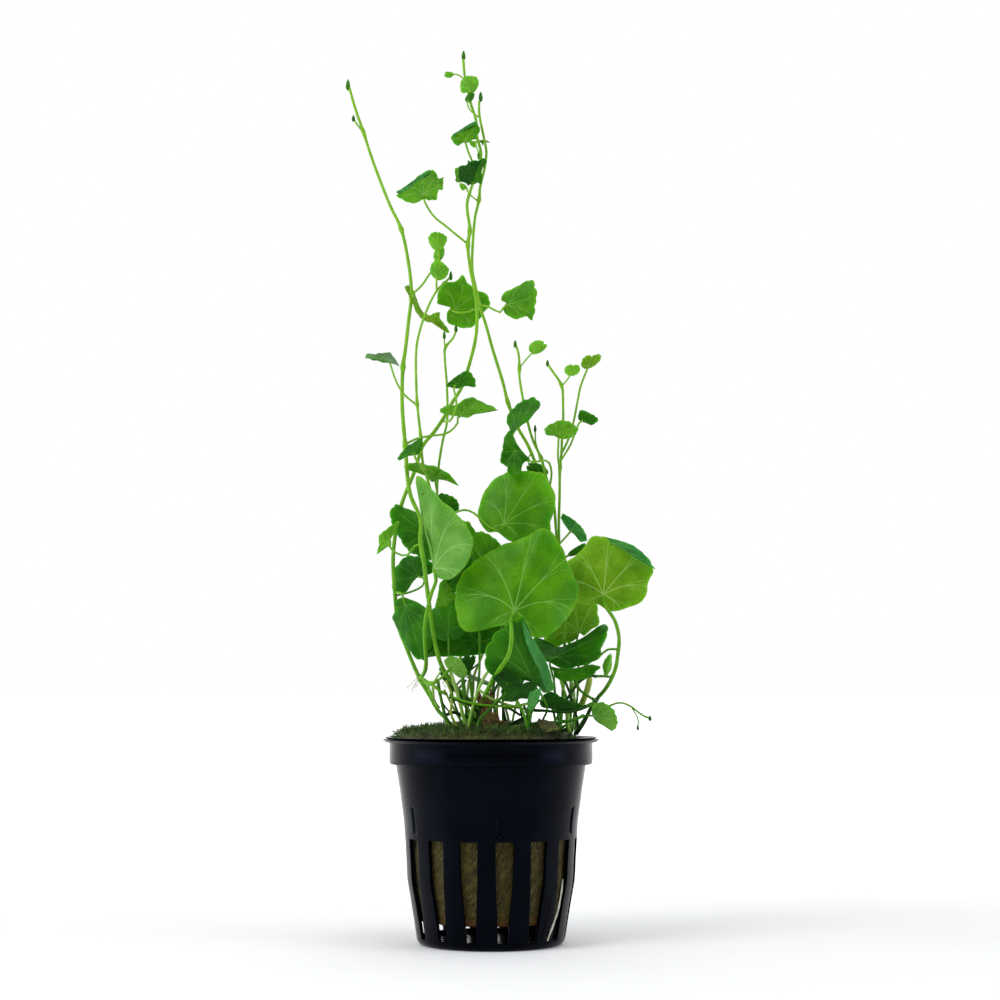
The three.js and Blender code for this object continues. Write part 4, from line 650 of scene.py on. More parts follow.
        stalk=[(4.9, 77.6, -21.4), (5, 75.8, -23.9), (5, 73.5, -24.9), (4.3, 69.8, -24.6), (2.4, 66.8, -22),
            (0.6, 64.2, -18), (-0.8, 61.3, -14.4), (-2.1, 58.6, -10.4), (-3.6, 55.2, -7)], radius=0.55, cup=2,
            curl=0.8, crown=True, freshStalk=True,
        outline=[(2, 76.9), (-6.4, 75.8), (-8.6, 80.9), (-8.4, 87.2), (-5.9, 91.2), (2, 97), (7.1, 98.6),
            (13.3, 101.3), (16.2, 97.8), (18.9, 92.6), (21.7, 86), (19.9, 80.6), (14.7, 75), (10.5, 74.2),
            (6.4, 76.4)],
    ),
    "leaf_24": dict(
        joint=(27.5, 82.9, -6), tip=(28.8, 98.7, -3), left=(16.9, 86.2, -7), right=(39.1, 87, -5),
        stalk=[(28.9, 80.6, -7), (30.4, 78.2, -7.4), (31.4, 74.1, -7.4), (31.1, 70.1, -7), (30.4, 66.2, -6.4),
            (28.4, 62.1, -4.4), (25.6, 58.8, -0.8)], radius=0.5, cup=1.2, curl=1, tint="yellow",
        outline=[(26.3, 82.3), (21.4, 82.3), (17.7, 85.3), (17.2, 91.2), (22.4, 95.9), (25.1, 99.1),
            (30.5, 98.1), (37.9, 94.1), (40.3, 90.8), (39.2, 88.7), (37.3, 83.3), (32.9, 81.3), (29.2, 80.6)],
        bits=[
            patch((28.3, 98.1, -3.8), (39.8, 91.4, -5.6), "blue", [(28.3, 98.6), (31.7, 97.9), (35.2, 96.6),
                (38.1, 94.2), (40.3, 90.8), (37.9, 93.1), (34.7, 95.1), (31.2, 96.6)]),
        ],
    ),
    "leaf_25": dict(
        joint=(21.1, 74.3, 2), tip=(23.8, 82.3, 2), left=(15, 76.5, 2), right=(26.8, 77.9, 2),
        stalk=[(21.3, 70.4, 2.6), (21.4, 63.7, 3.4), (20.6, 53, 3.4)], cup=0.8, crown=True, tint="yellow",
        outline=[(19.6, 73), (17.6, 72.5), (16.4, 71.8), (14.5, 72.8), (13.2, 73.5), (14, 75.2), (15.9, 77.9),
            (17.4, 80.4), (20.6, 83.3), (24.3, 83.8), (26, 82.3), (26.3, 79.6), (26.5, 77.2), (24.8, 76.2),
            (22.8, 74.5), (21.8, 75.2), (21.1, 74)],
    ),
    "leaf_26": dict(
        joint=(14.4, 68.6, -6), tip=(28.7, 75.5, -1), left=(18.1, 72.8, -2), right=(19.8, 64.2, -6.4),
        stalk=[(15.3, 64, -5.6), (15.9, 58.9, -4), (16.6, 53.4, -3.2)], cup=0.6, crown=True, tint="shade",
        outline=[(14.2, 68.1), (12.3, 69.3), (10.5, 72), (10.5, 74.5), (13.2, 73.6), (15.9, 72.2),
            (18.4, 72.5), (21.3, 73.7), (24.5, 75.6), (27.7, 77.7), (28.9, 76), (27.6, 73), (26.5, 69.3),
            (22.5, 67.3), (18.1, 66.4)],
    ),
    "leaf_27": dict(
        joint=(10.5, 62, -17), tip=(7.4, 78.9, -21), left=(2.2, 66.7, -20), right=(14.2, 68.1, -16),
        stalk=[(11.6, 61.2, -16.6), (12.9, 58.9, -15), (13.8, 56.5, -12.6), (12.7, 53.9, -10.4)], cup=0.8,
            crown=True, tint="shade",
        outline=[(4.2, 63.8), (0.5, 64.5), (-1, 66.4), (-1, 70.6), (1.5, 74.7), (7.4, 79.1), (10.5, 73.3),
            (13.2, 67.9), (15.2, 61.8), (13, 60.6), (11, 62.7), (7.6, 63.7)],
        bits=[
            dict(joint=(7.8, 78.4, -21.8), tip=(14.7, 61.3, -17.4), left=(10.3, 68.6, -19.8),
                right=(12.2, 70.6, -19.2), cup=0.3, tint="blue", outline=[(7.8, 78.4), (8.8, 76.2),
                (10.8, 73), (12.7, 69.6), (14.2, 66.2), (15.2, 62.7), (15.2, 61.5), (13.7, 60.8),
                (12.2, 65.2), (9.8, 69.8), (8.3, 73.5)]),
        ],
    ),
    "leaf_28": dict(
        joint=(4.2, 62.4, -12), tip=(2.9, 65.9, -12), left=(0.5, 63.7, -12), right=(7.6, 63.5, -12),
        stalk=[(5.5, 59.9, -11.2), (6.8, 58.2, -9.6), (7.3, 56, -8), (7.8, 53, -7.4)], cup=0.4, crown=True,
            tint="dark",
        outline=[(3, 62.2), (2, 64.4), (2.7, 66.3), (4.6, 66.4), (7.1, 65.1), (8.1, 63.9), (7.6, 62.2),
            (8.1, 60.9), (6.6, 59.8), (3.4, 59.6), (2.4, 60.8)],
    ),
    "leaf_29": dict(
        joint=(12.2, 58.9, -10.4), tip=(22.1, 57.7, -9.4), left=(15.9, 61.3, -9.6), right=(15.9, 56.9, -10.4),
        stalk=[(11, 57.8, -11.6), (9.5, 54.4, -11.6)], cup=0.4, crown=True, tint="dark",
        outline=[(12.2, 59.3), (14.4, 60.9), (17.9, 59.3), (22.5, 57.4), (21, 56.2), (18.3, 55.8),
            (14.9, 56.7), (12.2, 57.4)],
    ),
    "leaf_30": dict(
        joint=(24.3, 55.3, -8), tip=(29.8, 52, -8), left=(27.6, 58.4, -8), right=(26.7, 52.8, -8),
        stalk=[(21.4, 54.4, -8), (19.1, 53.9, -8), (16.2, 53.4, -8)], cup=0.5, crown=True, tint="pale",
        outline=[(24.7, 57.1), (26.7, 58.4), (28.6, 57.8), (30.1, 56.4), (31, 53), (29.8, 51.3), (27.9, 52.3),
            (25.2, 54.2)],
    ),
    "leaf_31": dict(
        joint=(-15, 99.2, -1), tip=(-24.6, 102.9, 0), left=(-18.9, 93.5, -2), right=(-21.2, 106.6, 1),
        stalk=[(-14, 98.8, 0), (-12.4, 98.4, 4)], cup=0.6, tint="shade",
        outline=[(-14.5, 96.8), (-14.3, 93.1), (-19.9, 95.1), (-23.2, 99.8), (-24.9, 103.5), (-23.7, 106.8),
            (-20, 105.7), (-17.3, 104.7), (-15.3, 102)],
    ),
    "leaf_32": dict(
        joint=(-25.1, 96.5, -4), tip=(-26.8, 100.2, -4), left=(-28.1, 94.9, -4), right=(-22.7, 102.4, -4),
        stalk=[(-23.7, 95.1, -4.5), (-21.3, 94.2, -5.5), (-19.9, 94.8, -6.4), (-19.2, 96.3, -7.2),
            (-17.5, 97, -8)], cup=0.4, tint="fresh",
        outline=[(-25.6, 96.3), (-28.1, 94.6), (-27.6, 96.8), (-27.6, 99.1), (-25.4, 101), (-22.7, 102.8),
            (-23.2, 100.5), (-24.6, 98.6), (-24.6, 96.6)],
    ),
    "leaf_33": dict(
        joint=(-17.2, 89, 3.4), tip=(-23.4, 89.4, 5), left=(-21.9, 84.8, 3), right=(-20.2, 93.8, 5),
        stalk=[(-16.4, 88.4, 2.2), (-16.8, 86.8, 1), (-20, 85.2, 0), (-23.5, 84.4, -0.9)], cup=0.5,
            tint="shade",
        outline=[(-18, 88.8), (-21.6, 85), (-24.1, 86), (-24.1, 89), (-22.9, 92.4), (-20.2, 94.4),
            (-14.3, 92.6), (-14.3, 90.4), (-16.2, 89.2)],
    ),
    "leaf_34": dict(
        joint=(-21.6, 84, -5), tip=(-17.4, 68.4, -7), left=(-14.5, 77.9, -8), right=(-24.3, 78.9, -4),
        stalk=[(-22.2, 85, -3.5), (-23.5, 85.2, -1.2)], cup=0.6, tint="shade",
        outline=[(-20.9, 83.9), (-16.5, 81.6), (-15, 78.4), (-14.7, 73), (-16.7, 68.6), (-20.4, 71.3),
            (-22.3, 74.5), (-24.4, 78.9), (-23.1, 81.3), (-23.8, 82.6), (-22.4, 83.8)],
    ),
    "leaf_35": dict(
        joint=(-10.4, 74, -8), tip=(-11.5, 83.3, -7), left=(-15, 77.2, -7), right=(-5.6, 77.9, -9),
        stalk=[(-10.3, 70.1, -7.4), (-9.8, 64, -5), (-9.2, 58.9, -4), (-7.4, 53.6, -4)], cup=0.7, crown=True,
            tint="shade",
        outline=[(-12.3, 73.5), (-14.5, 76.2), (-14.5, 81.1), (-11.1, 83.3), (-7.9, 82.6), (-5.7, 78.4),
            (-7.1, 74.7), (-9.3, 73.5)],
        bits=[
            patch((-11.5, 82.4, -7.6), (-11.2, 88, -8.4), "lit", [(-13.6, 81.9), (-13.3, 83.6), (-12.9, 85.8),
                (-12.6, 87.4), (-11.3, 88), (-10.1, 86.9), (-9, 85.4), (-8.6, 83.7), (-9.6, 82.4),
                (-11.4, 81.6)]),
            patch((-11, 86.3, -7.9), (-4.6, 92.6, -7.6), "shade", [(-12.5, 87.2), (-10.8, 89), (-8.6, 89.4),
                (-6.9, 91.4), (-4.9, 93.8), (-4.4, 91.7), (-5.7, 89.5), (-7.1, 87.7), (-8.4, 85.3),
                (-10.1, 85.3), (-11.6, 86.3)]),
        ],
    ),
    "leaf_36": dict(
        joint=(-1.2, 73.3, -3), tip=(-14.7, 70.6, -3), left=(-6.4, 69.6, -3), right=(-5.2, 76.4, -3),
        stalk=[(-0.3, 71, -2.4), (0.6, 63.7, -1.6), (0.8, 53.5, -0.6)], cup=0.6, crown=True, tint="shade",
        outline=[(1.5, 71.5), (1.5, 69.8), (-1, 70.2), (-5.2, 69.6), (-14.7, 69.8), (-14.2, 71.8),
            (-10.6, 75.5), (-6.4, 76.2), (-1.5, 77.4), (2.5, 80), (5.5, 79.5), (5.2, 74)],
        bits=[
            patch((-10.4, 71.8, -2.9), (-17.6, 71, -2.2), "shade", [(-18.2, 73.3), (-16.4, 75), (-14.7, 77.9),
                (-13.5, 80.6), (-12.3, 82.3), (-11.3, 80.4), (-10.8, 77.2), (-10.3, 73.5), (-9.8, 70.6),
                (-12.3, 69.8), (-15, 69.3), (-17.2, 68.9)]),
        ],
    ),
    "leaf_37": dict(
        joint=(-9.9, 66.8, -14.6), tip=(-6.6, 67.6, -14.6), left=(-9.5, 69.5, -14.4),
            right=(-7.6, 64.7, -14.6),
        stalk=[(-11.8, 64.7, -14.2), (-13.4, 63.2, -11), (-15.2, 62.5, -7), (-17, 63.5, -3)], cup=0.3,
            tint="pale",
        outline=[(-10.8, 66.7), (-11.5, 68.4), (-10.1, 69.5), (-7.8, 69), (-6.1, 66.7), (-5.9, 64.9),
            (-7.6, 64.3), (-9.6, 65.7)],
    ),
    "leaf_38": dict(
        joint=(-7.1, 64.7, -12), tip=(-5.1, 69.3, -12), left=(-7.8, 67.6, -12), right=(-4.4, 66.7, -12),
        stalk=[(-6.9, 61.5, -11.8), (-6.2, 58, -11), (-6.2, 53.8, -9)], cup=0.3, crown=True, tint="dark",
    ),
    "leaf_39": dict(
        joint=(-0.7, 63, -3.6), tip=(-5.6, 64.7, -2.6), left=(-3, 63.2, -5.6), right=(-3, 64.6, -0.4),
        stalk=[(0.2, 59.6, -4.4), (1.6, 53.8, -5.6)], cup=0.3, crown=True, tint="shade",
    ),
    "leaf_42": dict(
        joint=(-3.9, 91.6, -6), tip=(-6.4, 102.7, -6), left=(-6.8, 95.5, -6), right=(-1, 95.5, -6),
        stalk=[(-3.4, 84, -5), (-2.8, 72, -7), (-3, 64, -8.6), (-4, 58, -9.4), (-4.6, 54, -9)], cup=0.5,
            crown=True,
        outline=[(-5.2, 91.4), (-6.2, 96.1), (-7.6, 101), (-7.2, 102.8), (-5.4, 102.5), (-3.2, 99.1),
            (-0.5, 95.6), (-2.2, 92.6)],
    ),
    "leaf_43": dict(
        joint=(1, 92.5, -9.6), tip=(-2.6, 100.2, -9), left=(-4, 96, -9), right=(3.5, 98, -9),
        stalk=[(2.2, 84, -9), (2.8, 72, -7), (2.9, 62, -4), (2.9, 53.6, -3)], cup=0.5, crown=True,
        outline=[(-1.2, 92.6), (-3.7, 95.6), (-4.4, 98.8), (-3, 100.3), (-0.5, 99.4), (2.4, 96.8),
            (2.2, 93.9)],
    ),
    "leaf_44": dict(
        joint=(-12.1, 104.9, 1.6), tip=(-9.6, 109.1, 1.6), left=(-13, 107.5, 1.6), right=(-7.9, 105.9, 1.6),
        stalk=[(-12.8, 103.8, 2.2), (-13, 102.6, 4)], cup=0.3, tint="shade",
        outline=[(-12.8, 105.5), (-13.3, 107.9), (-12.6, 109.6), (-10.6, 109.3), (-8.4, 107.9), (-7.9, 105.7),
            (-10.1, 104.7)],
    ),
    "leaf_45": dict(
        joint=(19.7, 100.3, 3), tip=(21.1, 102.4, 3), left=(17.5, 104.1, 3), right=(23.4, 97.7, 3),
        stalk=[(18.4, 98.8, 2.4), (16.8, 97.1, 0.3)], cup=0.3, tint="blue",
        outline=[(19.2, 100.3), (17.2, 103.5), (17.7, 104.6), (20.4, 103), (22.9, 100.5), (23.6, 98.1),
            (22.1, 97.6), (20.4, 99.5)],
    ),
    "leaf_46": dict(
        joint=(18.9, 94.1, -0.6), tip=(23.3, 97, -1), left=(19.8, 97, -1), right=(22.6, 93.8, -1),
        stalk=[(17.9, 93.7, -0.2), (16.9, 93.3, 0.4)], cup=0.3, tint="shade",
        outline=[(18.9, 94.6), (20.2, 95.9), (23.1, 97.3), (23.1, 95.9), (21.4, 94.6), (19.4, 94)],
    ),
    "leaf_48": dict(
        joint=(9.8, 56.9, -20), tip=(11, 61.1, -20), left=(8.9, 59, -19.4), right=(11.9, 59.4, -19.4),
        stalk=[(9.5, 55.4, -18.6), (9.2, 53.6, -16)], cup=-0.6, crown=True, tint="blue",
    ),
    "leaf_49": dict(
        joint=(15.9, 65.6, -9), tip=(26, 66.7, -8), left=(19.8, 66.9, -8.6), right=(20.6, 63.7, -9.4),
        stalk=[(15.4, 63.6, -8.6), (15.8, 58.9, -7.6), (16.6, 53.4, -7)], cup=0.3, crown=True, tint="shade",
        outline=[(15.2, 65.9), (14.4, 67.1), (15.9, 66.8), (20.6, 66.7), (24.7, 67.6), (26.7, 66.9),
            (24.7, 64.9), (21.8, 63.8), (18.1, 63.5), (15.7, 64.5)],
    ),
}
deadLeaves = {
    "brown_sheath": dict(
        joint=(0.2, 52.2, -11), tip=(0.4, 60.8, -12.6), left=(-3.8, 53.4, -11.6), right=(4.4, 53.4, -11.4),
        stalk=[(0.2, 51.6, -10.8)], cup=0.6, crown=True, tint="dead",
        outline=[(-3.4, 51.3), (-3.9, 52.3), (-2.9, 53.7), (-2.9, 54.9), (-2.2, 56.2), (-1, 56.2), (0, 55.9),
            (1.2, 55.7), (2, 54.7), (2.4, 53.5), (3.2, 52.8), (4.2, 53.2), (4.4, 51.3)],
        bits=[
            patch((-2.9, 61, -12), (-2.7, 57.6, -12.4), "dead", [(-3.4, 60.8), (-2.9, 61.3), (-2.2, 59.6),
                (-2, 58.1), (-2.7, 57.4), (-3.4, 58.4), (-3.7, 59.3)]),
            patch((-1.2, 55.2, -11.4), (0, 61, -11), "dead", [(-2.4, 55.9), (-2.2, 57.4), (-1.5, 59.1),
                (-0.7, 60.3), (0.2, 61.3), (0.5, 60.8), (0.5, 59.1), (0, 57.4), (0, 55.7), (-1.2, 54.9)]),
        ],
    ),
    "dead_leaf": dict(
        joint=(12.2, 53.8, -13.2), tip=(15, 51.6, -17.2), left=(15.6, 53.3, -15), right=(12, 52.1, -15.8),
        stalk=[(11.6, 54.2, -12.2)], cup=0.2, crown=True, tint="rotten",
    ),
}
# Low leaf among the crown stalks, in the dark tissue: painted deep shade
crownLeaf = patch((4, 62.6, -20), (2.6, 65.9, -20.4), "dark", [(0.4, 64.2), (2.2, 65.7), (3.7, 66),
    (5.1, 65.4), (6.9, 64.6), (7.6, 63.2), (7.8, 61.8), (6.6, 61.3), (5.1, 60.8), (4.2, 61.3), (2.9, 61.5),
    (1.7, 62.7), (1, 63.5)], stalk=[(4.5, 61.2, -18.4), (5.3, 59.8, -16), (6, 58.8, -14.2)],
    bits=[
        patch((6.2, 61, -19.8), (5.6, 58.6, -19.4), "dark", [(4.2, 61.3), (5.6, 61.8), (7.1, 62.3), (8.1, 63),
            (10.8, 63.4), (12.5, 63.4), (12.4, 62.7), (10.8, 62), (10.5, 60.8), (9.5, 59.3), (8.6, 59.1),
            (7.1, 59.1), (5.4, 58.4), (3.2, 58.6), (2.9, 59.6), (3.9, 60.1), (3.2, 61.3)]),
    ])

# Crown stalks: tone, radius, depth and the route as (x, z); dark, mid and bright tones are painted shade and
# light
crownStalks = [
    ("dark", 0.55, -8, [(-12.3, 66.7), (-11.8, 64.7), (-10.3, 62.7), (-8.3, 60.8), (-6.4, 58.8), (-4.6, 57.4),
        (-2.9, 55.7), (-1.5, 53.5), (-0.2, 51.1)]),
    ("dark", 0.5, -7, [(-10.8, 55.2), (-9.5, 55.9), (-8.3, 55.7), (-6.6, 54.9), (-4.6, 54.5), (-2.7, 53),
        (-1.2, 51.1)]),
    ("pale", 0.5, -11, [(-10, 66.2), (-9.3, 63.7), (-8.6, 61.8), (-8.1, 59.8), (-7.3, 56.9), (-6.8, 54.7),
        (-5.6, 51.3)]),
    ("yellow", 0.36, -10, [(-11, 63.5), (-10, 61.3), (-9.5, 59.6), (-9.8, 57.4), (-9.8, 55.4), (-8.6, 53),
        (-7.1, 51.3)]),
    ("bright", 0.34, -12, [(-10, 66.4), (-11.5, 64.7), (-13, 63.7), (-14, 63.2), (-15.2, 63.2)]),
    ("pale", 0.26, -12.6, [(-12.3, 65.9), (-13.2, 64.5), (-14, 63.2)]),
    ("bright", 0.42, -10, [(-17.4, 64.5), (-15.9, 63.5), (-14.4, 62.5), (-13, 61.5), (-12.2, 60.8),
        (-10.8, 60.3)]),
    ("bright", 0.36, -6, [(-15.9, 63.5), (-14.9, 60.8), (-13.9, 58.6)]),
    ("pale", 0.38, -6, [(-14.2, 63), (-14.2, 60.8), (-13.9, 58.8), (-12.7, 56.9)]),
    ("mid", 0.46, -9, [(-13, 63.7), (-12.7, 61.3), (-12.2, 59.1), (-11.7, 56.9), (-11, 54.5), (-9.5, 52.5)]),
    ("dark", 0.26, -8, [(-12, 58.4), (-11, 56.9), (-10, 55.7)]),
    ("mid", 0.3, -8, [(-9.3, 58.8), (-9.8, 57.4), (-10, 55.9)]),
    ("bright", 0.32, -7, [(-7.6, 58.8), (-6.1, 56.9), (-4.9, 54.9), (-3.4, 51.3)]),
    ("dark", 0.36, -12.8, [(-9.5, 59.1), (-7.1, 58.4), (-5.1, 57.9), (-2.2, 57.4), (2.2, 57.4), (4.2, 56.9),
        (5.6, 56.2), (7.1, 55.2), (8.1, 55.7)]),
    ("mid", 0.3, -6, [(-9.5, 61.3), (-8.3, 62.7), (-6.9, 64.2), (-5.9, 65.2)]),
    ("dark", 0.3, -6, [(-8.6, 60.8), (-7.3, 62.3), (-6.1, 63.7)]),
    ("dark", 0.26, -6, [(-6.9, 64.5), (-5.9, 65.4), (-4.7, 66.4), (-3.2, 67.6)]),
    ("pale", 0.38, -4, [(-5.4, 63.7), (-5.6, 61.8), (-5.9, 59.8), (-5.9, 57.9), (-4.9, 54.9), (-4.2, 51.3)]),
    ("yellow", 0.36, 1, [(-1.2, 72), (-3.1, 67.5), (-4.2, 64.6), (-4.4, 60.8), (-4.9, 58.8), (-4.6, 56.9),
        (-3.7, 54.5), (-2.7, 51.1)]),
    ("mid", 0.34, -6, [(-3.2, 61.8), (-3.9, 59.3), (-4.2, 57.4), (-3.2, 54.5), (-1.7, 51.3)]),
    ("pale", 0.4, -13, [(2.6, 70.5), (0.5, 67.2), (-0.6, 66), (-1.7, 64.4), (-2.5, 62.7), (-3.2, 61.3),
        (-3.7, 59.6), (-4.4, 57.4), (-5.1, 54.5), (-5.6, 51.1)]),
    ("pale", 0.38, -13.2, [(-3.2, 61.5), (-1.5, 60.3), (-0.2, 59.3), (1.5, 58.6), (3.4, 57.9), (5.1, 57.4),
        (6.6, 57.4), (7.8, 57.8), (9.1, 57.9), (10.5, 58.8)]),
    ("dark", 0.36, -9, [(1.2, 64), (0.7, 63.2), (-0.7, 61.3), (-1.5, 59.6), (-2.2, 57.9), (-2.7, 55.9),
        (-2.9, 51.1)]),
    ("dark", 0.36, -9.4, [(1.7, 62.7), (0.7, 60.8), (0.2, 58.8), (0, 55.9), (-0.2, 51.1)]),
    ("yellow", 0.32, -6, [(2, 62.7), (1.7, 60.6), (1.5, 58.8), (1.5, 56.9), (1.7, 54), (2.2, 51.1)]),
    ("mid", 0.42, -13.8, [(4.9, 61.8), (2.9, 59.8), (1.7, 58.6), (0.2, 57.1), (-1.5, 55.4), (-2.7, 54),
        (-3.7, 51.1)]),
    ("bright", 0.36, -14, [(4.2, 62.5), (4.9, 60.8), (5.9, 58.8), (7.1, 57.5), (8.3, 54.5), (9, 51.1)]),
    ("dark", 0.38, -7, [(2.7, 58.1), (3.4, 54.5), (4.4, 51.3)]),
    ("pale", 0.38, -6, [(3.4, 57.4), (4.2, 54.5), (4.6, 51.3)]),
    ("dark", 0.42, -8, [(9.8, 55.4), (8.3, 54.7), (6.4, 53.7), (4.6, 52.8), (2.7, 51.3)]),
    ("dark", 0.36, -8.6, [(9.5, 54.9), (8.6, 54.2), (6.6, 53.2), (5.4, 52.5), (3.7, 51.1)]),
    ("mid", 0.4, -12.5, [(3.9, 52), (5.9, 52.3), (8.3, 52.5), (9.8, 52.8), (12, 53.4), (14.4, 53.4),
        (16.9, 53.4), (18.8, 53.7), (20.5, 54), (22.7, 55.2)]),
    ("mid", 0.36, -12.6, [(8.1, 57.4), (8.6, 55.9), (9.3, 54.5), (9.8, 52.8), (10.5, 50.8)]),
    ("mid", 0.32, -8, [(9.5, 57.6), (9.8, 55.2), (9.5, 53.5), (8.8, 51.1)]),
    ("dark", 0.38, -10, [(8.8, 56.9), (10.3, 56.5), (13.5, 56.2), (17.6, 55.9), (20.5, 56.2), (23.2, 57.4)]),
    ("bright", 0.38, -5, [(16.7, 65.2), (17.6, 61.8), (18.4, 59.3), (17.6, 56.7), (16.4, 54.9), (15.2, 53),
        (14.4, 51.1)]),
    ("dark", 0.36, -4, [(17.6, 64.7), (18.8, 61.8), (19.6, 59.6), (20.3, 56.9), (21, 54.5), (21.3, 51.1)]),
    ("pale", 0.38, -3, [(19.1, 64.7), (20.1, 62.3), (20.3, 60.3), (20.5, 57.9), (20.3, 54.5), (19.8, 51.1)]),
    ("dark", 0.38, -6, [(26, 64.7), (24.2, 64.7), (23, 64.2), (21.3, 63), (20.1, 61.3), (18.6, 59.1),
        (17.6, 57.4)]),
    ("mid", 0.34, -7, [(20.3, 64.7), (21.1, 62.5), (22, 61), (23.7, 59.8), (25.2, 58.8), (26.2, 58.6)]),
    ("pale", 0.6, -9, [(18.3, 56.9), (18.8, 54.5), (18.6, 53), (19.1, 51.1)]),
    ("mid", 0.42, -9, [(25.4, 58.1), (23.2, 57.1), (21.3, 56.4), (19.3, 56.2)]),
    ("mid", 0.4, -10, [(18.8, 53), (16.9, 52), (14.4, 51.1)]),
    ("dark", 0.36, -8, [(19.1, 52.3), (17.4, 51.3), (15.9, 50.6)]),
    ("dark", 0.55, -5, [(26.2, 59.3), (24.7, 57.4), (23.7, 55.4), (22.5, 53), (20.8, 50.6)]),
    ("mid", 0.36, -6, [(25.2, 64.5), (27.2, 64.7), (29.1, 64.5), (30.1, 64.5)]),
    ("yellow", 0.85, -3, [(24.2, 64.2), (23.7, 61.8), (22.8, 59.3), (22, 57.4)]),
    ("mid", 0.34, -1, [(2.2, 68.6), (0.7, 62.7), (-0.7, 57.4), (-1.2, 51.3)]),
    ("pale", 0.34, 2, [(7.1, 61.3), (6.1, 57.4), (5.4, 54.5), (5.1, 51.3)]),
    ("mid", 0.36, 1, [(13.9, 61.3), (14.9, 57.4), (15.6, 54.5), (15.9, 51.3)]),
    ("yellow", 0.34, -2, [(-11.5, 61.3), (-10, 58.4), (-8.1, 54.9), (-5.6, 51.5)]),
]
# Fine white roots at a node on the left
hairRoots = [
    [(-17.9, 64.5, -11), (-19.3, 63, -11), (-20.6, 61.8, -11)],
    [(-17.9, 64, -11.4), (-18.6, 62.7, -11.4), (-19.1, 61.8, -11.4)],
    [(-17.9, 63.5, -10.6), (-18.1, 62.5, -10.6), (-18.6, 61.8, -10.6)],
    [(-18.4, 62.7, -11.2), (-19.1, 61.8, -11.2), (-19.3, 61, -11.2)],
    [(-12, 63.5, -9), (-11.5, 62.5, -9), (-11, 61.8, -9)],
]
hangingRoot = [(17.4, 15.4, -10.8), (17.2, 13, -12.4), (16.8, 10.5, -13.4), (16.2, 7.7, -13.4),
    (15.2, 4.7, -13.5), (13.7, 0.7, -13.9)]


# Rods along a route
def quads(rows, around, outwards=False):  # faces between rings of points
    faces = []
    for i in range(rows - 1):
        for k in range(around):
            a, b = i * around + k, i * around + (k + 1) % around
            c, d = b + around, a + around
            faces.append((a, b, c, d) if outwards else (a, d, c, b))
    return faces


capShare = 0.6  # how far a rod's end bulges, as a share of its radius


def sweep(route, radii, sides=10):  # closed tube as vertices and faces, radii for each point
    points = [Vector(p) for p in route]
    ahead = [*points[1:], points[-1]]
    behind = [points[0], *points[:-1]]
    tangents = [(a - b).normalized() for a, b in zip(ahead, behind)]
    normal = tangents[0].orthogonal().normalized()
    verts, faces = [], quads(len(points), sides, True)
    for point, tangent, radius in zip(points, tangents, radii):
        normal = (normal - tangent * normal.dot(tangent)).normalized()
        side = tangent.cross(normal)
        for k in range(sides):
            turn = 2 * math.pi * k / sides
            verts.append(point + (normal * math.cos(turn) + side * math.sin(turn)) * radius)
    verts.append(points[0] - tangents[0] * radii[0] * capShare)
    verts.append(points[-1] + tangents[-1] * radii[-1] * capShare)
    last = (len(points) - 1) * sides
    for k in range(sides):
        n = (k + 1) % sides
        faces.append((n, k, len(verts) - 2))
        faces.append((last + k, last + n, len(verts) - 1))
    return verts, faces


def smoothRoute(points, step=1.2):  # centripetal spline through the points, evenly resampled
    pts = [np.array(p, float) for p in points]
    if len(pts) == 2:
        pts = [pts[0], (pts[0] + pts[1]) / 2, pts[1]]
    ends = [2 * pts[0] - pts[1], *pts, 2 * pts[-1] - pts[-2]]
    dense = []
    for a, b, c, d in zip(ends, ends[1:], ends[2:], ends[3:]):
        t = np.cumsum([0] + [max(np.linalg.norm(q - p), 1e-6) ** 0.5 for p, q in ((a, b), (b, c), (c, d))])

        def between(p, q, i, j):
            return (t[j] - u) / (t[j] - t[i]) * p + (u - t[i]) / (t[j] - t[i]) * q

        for u in np.linspace(t[1], t[2], 12, endpoint=False):
            near, middle, far = between(a, b, 0, 1), between(b, c, 1, 2), between(c, d, 2, 3)
            dense.append(between(between(near, middle, 0, 2), between(middle, far, 1, 3), 1, 2))
    dense.append(pts[-1])
    dense = np.array(dense)
    along = np.concatenate([[0], np.cumsum(np.linalg.norm(np.diff(dense, axis=0), axis=1))])
    marks = np.linspace(0, along[-1], max(3, int(along[-1] / step) + 1))
    return np.stack([np.interp(marks, along, dense[:, k]) for k in range(3)], axis=1), marks


class Shape:  # grows lists of vertices, faces and the faces' marks
    def __init__(self):
        self.verts, self.faces, self.uvs = [], [], []

    def add(self, verts, faces, uvs=None):
        base = len(self.verts)
        self.verts += [tuple(v) for v in verts]
        self.faces += [tuple(k + base for k in face) for face in faces]
        self.uvs += uvs or [(0.0, 0.5)] * sum(len(face) for face in faces)

    def piece(self, name, material, marked=False):
        return newPiece(name, self.verts, self.faces, material, True, self.uvs if marked else None)


# Knots on a rod: height and width as shares of its radius
knotForm = {"high": 0.62, "wide": 1.7}


def rod(shape, points, radius, knots=(), tipShare=1.0, sides=10, step=1.2, wobble=0.04, grow=25):
    route, marks = smoothRoute(points, step)
    middles = [np.array(place(knot)) for knot in knots]
    radii = []
    for spot, mark in zip(route, marks):
        r = radius * (tipShare + (1 - tipShare) * min(1.0, mark / grow))
        r *= 1 + wobble * math.sin(mark * 1.3 + points[0][0])
        for middle in middles:
            away = np.linalg.norm(spot - middle) / (radius * knotForm["wide"])
            r += radius * knotForm["high"] * math.exp(-(away ** 2))
        radii.append(r)
    shape.add(*sweep(route, radii, sides))


goldenTurn = 2.4  # radians from one shoot to the next round a stem


